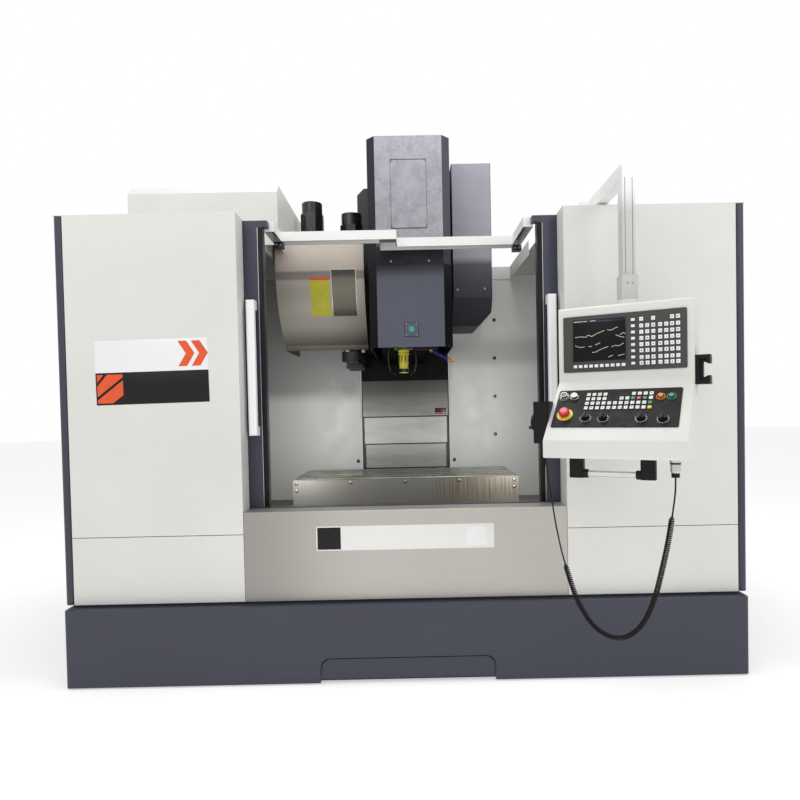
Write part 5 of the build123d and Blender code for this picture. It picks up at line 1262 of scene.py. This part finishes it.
BLOCK_DEPTHS = (0.962, 0.996)
BLOCK_HEIGHTS = (1.521, 1.5452)
BLOCK_WIDTH = 0.022

# Seams in the head's front, and the small field on the upper sliding cover
HEAD_FACE = 0.560
SEAM_WIDTH = 0.002
SEAM_OVERLAP = 0.0005
ACCESS_SEAM = (-0.0475, 2.127, 0.1385, 2.483)
BUTTON_SEAM = (0.0095, 1.5640, 0.0845, 1.6380)
BUTTON_CENTRE = (0.047, 1.601)
BUTTON_COLLAR = ((0.0116, 0.0035), (0.0162, 0.0035), (0.0162, 0.0066), (0.0150, 0.0080), (0.0116, 0.0080))
COVER_FACE = 1.390
COVER_FIELD = (0.194, 1.148, 0.266, 1.186)
COVER_BAND = (0.196, 1.150, 0.264, 1.157)


class MACHINE_OT_dress_head(bpy.types.Operator):
    """Add the cooling pipes, the holder's flutes, the hose fittings and the seams of the head"""

    bl_idname = "machine.dress_head"
    bl_label = "Dress Head"

    def execute(self, context):
        with Piece("cooling_pipes", "head", "spindle_steel", "Pipe steel") as pipes:
            for route in (LEFT_PIPE, RIGHT_PIPE):
                add_pipe(pipes, eased([(x, at(depth), z) for x, depth, z in route]), PIPE_RADIUS)

        axis = Vector((0, at(SPINDLE_DEPTH), 0))
        with Piece("holder_flutes", "spindle", "changer_black", "Motor black") as flutes:
            for step in range(HOLDER_FLUTES):
                spin = Matrix.Rotation(math.tau * (step + 0.5) / HOLDER_FLUTES, 4, "Z")
                with Placed(flutes, Matrix.Translation(axis) @ spin):
                    add_box(flutes, FLUTE_LOW, FLUTE_HIGH, bevel=0.0006)
            add_turned(flutes, HOLDER_RING, axis + UP * HOLDER_RING_Z, UP, 28)

        along = Vector((math.cos(HOSE_FALL), 0, -math.sin(HOSE_FALL)))
        x, depth, z = HOSE_START
        start = Vector((x, at(depth), z))
        with Piece("hose_elbow", "head", "hose_blue", "Brass") as elbow:
            add_turned(elbow, HOSE_NUT, start, along, 6)
            add_turned(elbow, HOSE_FLANGE, start, along, 20)
        with Piece("hose_nozzle", "head", "hose_blue", "Hose orange") as nozzle:
            add_turned(nozzle, NOZZLE_PROFILE, start + along * HOSE_BEADS, along, 24)

        near, far = BLOCK_DEPTHS
        low, high = BLOCK_HEIGHTS
        with Piece("changer_blocks", "root", "spindle_steel", "Bolt steel") as blocks:
            for left in GEARBOX_BLOCKS:
                add_box(blocks, (left, at(near), low), (left + BLOCK_WIDTH, at(far), high), bevel=0.0015)

        head_plane = front_at(HEAD_FACE)
        with Piece("access_seam", "head", "changer_black", "Plate black", head_plane) as seam:
            add_frame(seam, ACCESS_SEAM, 0.002)
        with Piece("button_seam", "head", "changer_black", "Plate black", head_plane) as seam:
            add_frame(seam, BUTTON_SEAM, 0.0015)
        with Piece("button_collar", "head", "release_teal", "Release teal") as collar:
            x, z = BUTTON_CENTRE
            add_turned(collar, BUTTON_COLLAR, (x, at(HEAD_FACE), z), TOWARDS, 28)
        with Piece("cover_field", "head", "changer_black", "Plate black", front_at(COVER_FACE)) as field:
            add_field(field, COVER_FIELD, -SINK, 0.0008)
        with Piece("cover_field_band", "head", "stop_red", "Stop red", front_at(COVER_FACE)) as band:
            add_field(band, COVER_BAND, 0.0004, 0.0011)
        return {"FINISHED"}


# Wiper along the lower edge of each sliding cover: body, half width, lower edge, front depth
WIPERS = (
    ("head", 0.279, 1.137, 1.3900),
    ("z_cover_second", 0.270, 0.959, 1.3928),
    ("z_cover_third", 0.263, 0.800, 1.3956),
)
WIPER_DROP = 0.007
WIPER_THICKNESS = 0.0024


class MACHINE_OT_fit_wipers(bpy.types.Operator):
    """Fit the rubber wipers of the telescopic covers"""

    bl_idname = "machine.fit_wipers"
    bl_label = "Fit Wipers"

    def execute(self, context):
        for body, half, edge, depth in WIPERS:
            corners = (-half, edge - WIPER_DROP, half, edge + SINK)
            with Piece(f"wiper_{body}", body, "changer_black", "Black plastic", front_at(depth)) as wiper:
                add_field(wiper, corners, -WIPER_THICKNESS, 0.0, bevel=0.0)
        return {"FINISHED"}


# Front of the coolant tank in the skirt's recess, and the dark sheet behind it, painted shade in the gap
# round the front
TANK_FACE = -0.030
TANK_HALF = 0.3755
TANK_LOW = 0.022
TANK_HIGH = 0.1105
TANK_CORNER = 0.040
TANK_THICKNESS = 0.0155
BACKING_LOW = 0.012
BACKING_MARGIN = 0.0035

# Painted shade strip and bright line on each door's inner edge: their reach from it as (near, far, thickness)
DOOR_FACE = 0.121
DOOR_EDGE = 0.6205
DOOR_HEIGHTS = (0.752, 2.018)
DOOR_STRIPS = (
    ("seal", 0.0, 0.021, 0.003, "changer_black", "Black plastic"),
    ("line", 0.0225, 0.0247, 0.0016, "handle_aluminium", "Satin aluminium"),
)

# Brackets under the beam's ends, as (side, depth)
BEAM_ENDS = ((-1, 0.340), (1, 0.485))
BRACKET_REACH = (0.572, 0.616)
BRACKET_HEIGHTS = (1.984, 2.0113)
BRACKET_DEPTH = 0.050
BRACKET_BOLT_SHARES = (0.28, 0.72)
BRACKET_BOLT_Z = 1.997
BRACKET_BOLT = 0.0055
DRUM_LIP = (-0.688, 2.0445, -0.206, 2.106)
LABEL_HEAD = (DRUM_LABEL[0], DRUM_LABEL[3] - 0.014, DRUM_LABEL[2], DRUM_LABEL[3])


def arched_points(half, low, high, radius, steps=6):
    """Outline of a plate with a straight foot and two round upper corners."""
    points = [(-half, low), (half, low)]
    for centre, start in ((half - radius, 0.0), (radius - half, math.pi / 2)):
        for step in range(steps + 1):
            turn = start + math.pi / 2 * step / steps
            points.append((centre + radius * math.cos(turn), high - radius + radius * math.sin(turn)))
    return points


class MACHINE_OT_fit_trim(bpy.types.Operator):
    """Fit the tank front, the painted shade strips and bright lines of the doors, the beam brackets and the
    drum's upper lip
    """

    bl_idname = "machine.fit_trim"
    bl_label = "Fit Trim"

    def execute(self, context):
        # Dark sheet behind the tank's front, painted shade in the gap round it
        with Piece("tank_backing", "root", "dark_paint", "Plate black", front_at(TANK_FACE)) as backing:
            half = TANK_HALF + BACKING_MARGIN
            outline = arched_points(half, BACKING_LOW, TANK_HIGH + BACKING_MARGIN, TANK_CORNER)
            add_outline(backing, outline, 0.001)
        with Piece("tank_face", "root", "dark_paint", "Slate enamel", front_at(TANK_FACE - 0.0005)) as face:
            outline = arched_points(TANK_HALF, TANK_LOW, TANK_HIGH, TANK_CORNER)
            add_outline(face, outline, TANK_THICKNESS, bevel=0.0015)

        bottom, top = DOOR_HEIGHTS
        # Each door gets a dark strip of painted shade for the recess at its inner edge, and a bright line
        for side, body in ((-1, "left_door"), (1, "right_door")):
            for part, near, far, thickness, slot, finish_name in DOOR_STRIPS:
                left, right = sorted(side * (DOOR_EDGE + reach) for reach in (near, far))
                with Piece(f"{body}_{part}", body, slot, finish_name, front_at(DOOR_FACE)) as strip:
                    add_field(strip, (left, bottom, right, top), -SINK, thickness)

        low, high = BRACKET_HEIGHTS
        with Piece("beam_brackets", "root", "changer_black", "Motor black") as brackets:
            for side, depth in BEAM_ENDS:
                near, far = sorted(side * reach for reach in BRACKET_REACH)
                back = at(depth + BRACKET_DEPTH)
                add_box(brackets, (near, at(depth), low), (far, back, high), bevel=0.0015)
        with Piece("beam_bolts", "root", "spindle_steel", "Bolt steel") as bolts:
            for side, depth in BEAM_ENDS:
                near, far = sorted(side * reach for reach in BRACKET_REACH)
                for share in BRACKET_BOLT_SHARES:
                    x = near + (far - near) * share
                    add_bolt(bolts, (x, at(depth), BRACKET_BOLT_Z), TOWARDS, BRACKET_BOLT)

        with Piece("drum_lip", "root", "stainless", "Magazine sheet") as lip:
            add_drum_plate(lip, DRUM_LIP, -0.002, 0.0)
        with Piece("drum_label_head", "root", "changer_black", "Plate orange") as header:
            add_drum_plate(header, LABEL_HEAD, 0.0006, 0.0012)
        return {"FINISHED"}


# Fittings under and beside the pendant, in its own across, out and height
GRAB_ENDS = (-0.145, 0.108)
GRAB_OUT = 0.130
GRAB_Z = 0.935
GRAB_BAR = 0.0113
GRAB_BAR_INSET = 0.026
GRAB_FOOT = 0.0165
GRAB_FOOT_REACH = (0.022, 0.042)
CORD_ACROSS = 0.195
CORD_OUT = 0.120
LIP_BOTTOM = 0.996
SLEEVE_RIBS = 4
SLEEVE_PITCH = 0.0078
HALF_PENDANT = 0.2465
HOOK_OUT = -0.081
HOOK_THICKNESS = 0.042
HOOK_POINTS = (
    (0.0, 1.2555), (0.0505, 1.2555), (0.0505, 1.287), (0.040, 1.287), (0.025, 1.279), (0.025, 1.339),
    (0.040, 1.331), (0.0505, 1.331), (0.0505, 1.3625), (0.0, 1.3625),
)
TUBE_X = 0.8865
TUBE_FRONT = -0.3075
TUBE_LINES = (-0.0150, 0.0135)
TUBE_LINE_WIDTH = 0.0016
TUBE_HEIGHTS = (1.690, 2.060)
COUPLING_FRONT = -0.3145
COUPLING_SCREWS = (-0.010, 0.012)
COUPLING_SCREW_Z = 1.655
COUPLING_SCREW = 0.0042


def sleeve_profile():
    """Ribbed sleeve of the cord, from its nut to its end."""
    profile = [(0.0146, 0.0), (0.0198, 0.0), (0.0198, 0.013), (0.0176, 0.0145)]
    for rib in range(SLEEVE_RIBS):
        low = 0.016 + rib * SLEEVE_PITCH
        profile += [(0.0162, low), (0.0176, low + 0.0012), (0.0176, low + 0.0058), (0.0162, low + 0.0068)]
    return profile + [(0.0142, 0.050)]


class MACHINE_OT_trim_pendant(bpy.types.Operator):
    """Trim the pendant: grab bar, cord sleeve, hook, and the lines and screws of its tube"""

    bl_idname = "machine.trim_pendant"
    bl_label = "Trim Pendant"

    def execute(self, context):
        left, right = GRAB_ENDS
        with Piece("grab_bar", "pendant", "handle_aluminium", "Satin aluminium") as bar:
            start = on_pendant(left + GRAB_BAR_INSET, GRAB_OUT, GRAB_Z)
            add_rod(bar, start, on_pendant(right - GRAB_BAR_INSET, GRAB_OUT, GRAB_Z), GRAB_BAR, 24)
        with Piece("grab_feet", "pendant", "fitting_black", "Black plastic") as feet:
            for across, inward in ((left, 1), (right, -1)):
                near, far = [across + inward * reach for reach in GRAB_FOOT_REACH]
                start = on_pendant(near, GRAB_OUT, GRAB_Z)
                add_rod(feet, start, on_pendant(far, GRAB_OUT, GRAB_Z), GRAB_FOOT, 24, edge=0.002)
        with Piece("cord_sleeve", "pendant", "handle_aluminium", "Satin aluminium") as sleeve:
            add_turned(sleeve, sleeve_profile(), on_pendant(CORD_ACROSS, CORD_OUT, LIP_BOTTOM), -UP, 28)
        side = basis(on_pendant(HALF_PENDANT, HOOK_OUT, 0), PENDANT_RIGHT, UP, PENDANT_OUT)
        with Piece("hook_body", "pendant", "fitting_black", "Black plastic", side) as hook:
            add_outline(hook, HOOK_POINTS, HOOK_THICKNESS, bevel=0.002)

        low, high = TUBE_HEIGHTS
        with Piece("tube_lines", "swing_arm", "cream_paint", "Rim grey", front_at(TUBE_FRONT)) as lines:
            for across in TUBE_LINES:
                x = TUBE_X + across
                add_field(lines, (x, low, x + TUBE_LINE_WIDTH, high), -SINK, 0.0004, bevel=0.0)
        with Piece("coupling_screws", "swing_arm", "spindle_steel", "Bolt steel") as screws:
            for across in COUPLING_SCREWS:
                place = (TUBE_X + across, at(COUPLING_FRONT), COUPLING_SCREW_Z)
                add_bolt(screws, place, TOWARDS, COUPLING_SCREW)
        return {"FINISHED"}


# Route of the handwheel cord, hung in the pendant's end plane: (across, height) at one distance out
CORD_LEAD_IN = ((0.195, 0.930), (0.195, 0.897), (0.192, 0.862), (0.1874, 0.827), (0.183, 0.795))
CORD_COIL = (
    (0.183, 0.795), (0.172, 0.715), (0.150, 0.610), (0.120, 0.480), (0.072, 0.375),
    (-0.005, 0.322), (-0.090, 0.352), (-0.150, 0.440), (-0.182, 0.530), (-0.199, 0.588),
)
CORD_LEAD_OUT = (
    (-0.199, 0.588), (-0.2115, 0.63065), (-0.222, 0.680), (-0.233, 0.735), (-0.243, 0.800),
    (-0.253, 0.870), (-0.263, 0.932), (-0.270, 0.990), (-0.270, 1.046),
)
COIL_STEPS = 14
COIL_EASE_TURNS = 2.0


def nurbs_curve(name, points):
    """Curve object of one smooth open spline with these control points."""
    data = bpy.data.curves.new(name, "CURVE")
    data.dimensions = "3D"
    spline = data.splines.new("NURBS")
    spline.points.add(len(points) - 1)
    for control, point in zip(spline.points, points):
        control.co = (*point, 1.0)
    spline.order_u = 3
    spline.use_endpoint_u = True
    curve = bpy.data.objects.new(name, data)
    bpy.context.collection.objects.link(curve)
    return curve


def points_along(route):
    """Points of a bare curve, in order, as the spline itself gives them."""
    bpy.context.view_layer.update()
    shown = route.evaluated_get(bpy.context.evaluated_depsgraph_get())
    mesh = bpy.data.meshes.new_from_object(shown)
    points = [vert.co.copy() for vert in mesh.vertices]
    bpy.data.meshes.remove(mesh)
    return points


def curled(points, radius, pitch):
    """Helix round a line of points, opening from the line and closing back into it."""
    lengths = [0.0]
    for first, second in zip(points, points[1:]):
        lengths.append(lengths[-1] + (second - first).length)
    turns = lengths[-1] / pitch
    count = int(turns * COIL_STEPS)
    helix = []
    index = 0
    for step in range(count + 1):
        along = lengths[-1] * step / count
        while index < len(points) - 2 and lengths[index + 1] < along:
            index += 1
        run = points[index + 1] - points[index]
        share = (along - lengths[index]) / run.length
        turn = turns * step / count
        ease = min(turn, turns - turn) / COIL_EASE_TURNS
        open_radius = radius * min(1.0, ease)
        side = run.normalized().cross(PENDANT_OUT)
        phase = math.tau * turn
        offset = side * math.cos(phase) + PENDANT_OUT * math.sin(phase)
        helix.append(points[index] + run * share + offset * open_radius)
    return helix


class MACHINE_OT_hang_cord(bpy.types.Operator):
    """Hang the handwheel's curly cord under the pendant"""

    bl_idname = "machine.hang_cord"
    bl_label = "Hang Cord"

    def execute(self, context):
        lead_in = [on_pendant(across, CORD_OUT, z) for across, z in CORD_LEAD_IN]
        coil = [on_pendant(across, CORD_OUT, z) for across, z in CORD_COIL]
        lead_out = [on_pendant(across, CORD_OUT, z) for across, z in CORD_LEAD_OUT]
        route = nurbs_curve("cord_route", coil)
        route.data.resolution_u = 24
        line = points_along(route)
        bpy.data.objects.remove(route)
        wire = sizes().wire
        helix = curled(line, (sizes().coil - wire) / 2, sizes().pitch)
        cord = nurbs_curve("handwheel_cord", lead_in[:-1] + helix + lead_out[1:])
        cord.data.resolution_u = 2
        cord.data.bevel_depth = wire / 2
        cord.data.bevel_resolution = 2
        cord.data.use_fill_caps = True
        cord.data.materials.append(finish("Cord black"))
        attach(cord, "pendant")
        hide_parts("cord_lead_in", "coil_cord", "cord_lead_out")
        return {"FINISHED"}


def seen_directly(tree):
    """Socket that is one for rays of the camera, mirrors and panes."""
    nodes = tree.nodes
    path = nodes.new("ShaderNodeLightPath")
    seen = path.outputs["Is Camera Ray"]
    for name in ("Is Glossy Ray", "Is Transmission Ray"):
        either = nodes.new("ShaderNodeMath")
        either.operation = "MAXIMUM"
        tree.links.new(seen, either.inputs[0])
        tree.links.new(path.outputs[name], either.inputs[1])
        seen = either.outputs[0]
    return seen


def area_lamp(name, place, target, size, energy):
    data = bpy.data.lights.new(name, "AREA")
    data.shape = "RECTANGLE"
    data.size, data.size_y = size
    data.energy = energy
    lamp = bpy.data.objects.new(name, data)
    lamp.location = place
    lamp.rotation_euler = (Vector(target) - Vector(place)).to_track_quat("-Z", "Y").to_euler()
    bpy.context.collection.objects.link(lamp)
    return lamp


class MACHINE_OT_set_stage(bpy.types.Operator):
    """Set the camera, the pale floor and the studio light"""

    bl_idname = "machine.set_stage"
    bl_label = "Set Stage"

    def execute(self, context):
        scene = context.scene
        stage = scene.machine_stage
        scene.view_settings.view_transform = "Standard"

        camera = bpy.data.objects.new("camera", bpy.data.cameras.new("camera"))
        camera.data.lens = stage.lens
        camera.data.sensor_width = 36.0
        camera.data.shift_x = stage.shift[0]
        camera.data.shift_y = stage.shift[1]
        camera.location = (stage.eye_x, at(-stage.eye_depth), stage.eye_height)
        tilt, roll, heading = stage.turn
        level = Matrix.Rotation(heading, 4, "Z") @ Matrix.Rotation(math.pi / 2 + tilt, 4, "X")
        camera.rotation_euler = (level @ Matrix.Rotation(roll, 4, "Z")).to_euler()
        scene.collection.objects.link(camera)
        scene.camera = camera

        bm = bmesh.new()
        bmesh.ops.create_circle(bm, cap_ends=True, segments=96, radius=30.0)
        mesh = bpy.data.meshes.new("floor")
        bm.to_mesh(mesh)
        bm.free()
        floor = bpy.data.objects.new("floor", mesh)
        paint = Finish("Floor paint", roughness=0.9, specular=0.1)
        paint.color(tuple(stage.floor))
        paint.shader.inputs["Emission Color"].default_value = (1, 1, 1, 1)
        paint.shader.inputs["Emission Strength"].default_value = 0.48
        mesh.materials.append(paint.material)
        scene.collection.objects.link(floor)

        world = bpy.data.worlds.new("studio")
        world.use_nodes = True
        scene.world = world
        tree = world.node_tree
        soft = tree.nodes["Background"]
        soft.inputs["Strength"].default_value = stage.sky
        white = tree.nodes.new("ShaderNodeBackground")
        white.inputs["Color"].default_value = (1, 1, 1, 1)
        soft.inputs["Color"].default_value = (1, 1, 1, 1)
        blend = tree.nodes.new("ShaderNodeMixShader")
        tree.links.new(seen_directly(tree), blend.inputs["Fac"])
        tree.links.new(soft.outputs[0], blend.inputs[1])
        tree.links.new(white.outputs[0], blend.inputs[2])
        tree.links.new(blend.outputs[0], tree.nodes["World Output"].inputs["Surface"])

        area_lamp("key_lamp", (-2.4, at(-3.6), 4.2), (0, at(0.3), 1.0), (3.0, 2.0), stage.key)
        area_lamp("fill_lamp", (2.8, at(-3.4), 3.2), (0.2, at(0.3), 1.0), (3.0, 2.2), stage.fill)
        area_lamp("top_lamp", (0.2, at(0.7), 4.6), (0, at(0.8), 1.0), (2.6, 1.8), stage.top)
        for side in (-1, 1):
            place = (side * 0.62, at(0.24), 1.10)
            target = (side * 0.45, at(1.42), 1.10)
            lamp = area_lamp(f"work_lamp_{side}", place, target, (0.12, 0.5), stage.work)
            lamp.data.spread = math.radians(100)
        return {"FINISHED"}


# The operators in the order that they run
STEPS = (
    MACHINE_OT_paint_solids,
    MACHINE_OT_fit_keys,
    MACHINE_OT_fit_screen,
    MACHINE_OT_fit_controls,
    MACHINE_OT_fit_bolts,
    MACHINE_OT_hang_plates,
    MACHINE_OT_dress_magazine,
    MACHINE_OT_dress_head,
    MACHINE_OT_fit_wipers,
    MACHINE_OT_fit_trim,
    MACHINE_OT_trim_pendant,
    MACHINE_OT_hang_cord,
    MACHINE_OT_set_stage,
)


class MACHINE_PT_looks(bpy.types.Panel):
    """Buttons for the machine's looks"""

    bl_idname = "MACHINE_PT_looks"
    bl_label = "Machining Centre"
    bl_space_type = "VIEW_3D"
    bl_region_type = "UI"
    bl_category = "Machine"

    def draw(self, context):
        layout = self.layout
        for step in STEPS:
            layout.operator(step.bl_idname)
        for group in (context.scene.machine_colors, context.scene.machine_sizes, context.scene.machine_stage):
            column = layout.column(align=True)
            for key in group.bl_rna.properties.keys():
                if key not in ("rna_type", "name"):
                    column.prop(group, key)


GROUPS = {
    "machine_colors": MachineColors,
    "machine_sizes": MachineSizes,
    "machine_stage": MachineStage,
}


def register():
    for group in GROUPS.values():
        bpy.utils.register_class(group)
    for name, group in GROUPS.items():
        setattr(bpy.types.Scene, name, bpy.props.PointerProperty(type=group))
    for step in STEPS:
        bpy.utils.register_class(step)
    bpy.utils.register_class(MACHINE_PT_looks)


def unregister():
    bpy.utils.unregister_class(MACHINE_PT_looks)
    for step in reversed(STEPS):
        bpy.utils.unregister_class(step)
    for name in GROUPS:
        delattr(bpy.types.Scene, name)
    for group in GROUPS.values():
        bpy.utils.unregister_class(group)


def main():
    register()
    bpy.ops.machine.paint_solids()
    bpy.ops.machine.fit_keys()
    bpy.ops.machine.fit_screen()
    bpy.ops.machine.fit_controls()
    bpy.ops.machine.fit_bolts()
    bpy.ops.machine.hang_plates()
    bpy.ops.machine.dress_magazine()
    bpy.ops.machine.dress_head()
    bpy.ops.machine.fit_wipers()
    bpy.ops.machine.fit_trim()
    bpy.ops.machine.trim_pendant()
    bpy.ops.machine.hang_cord()
    bpy.ops.machine.set_stage()


if __name__ == "__main__":
    main()
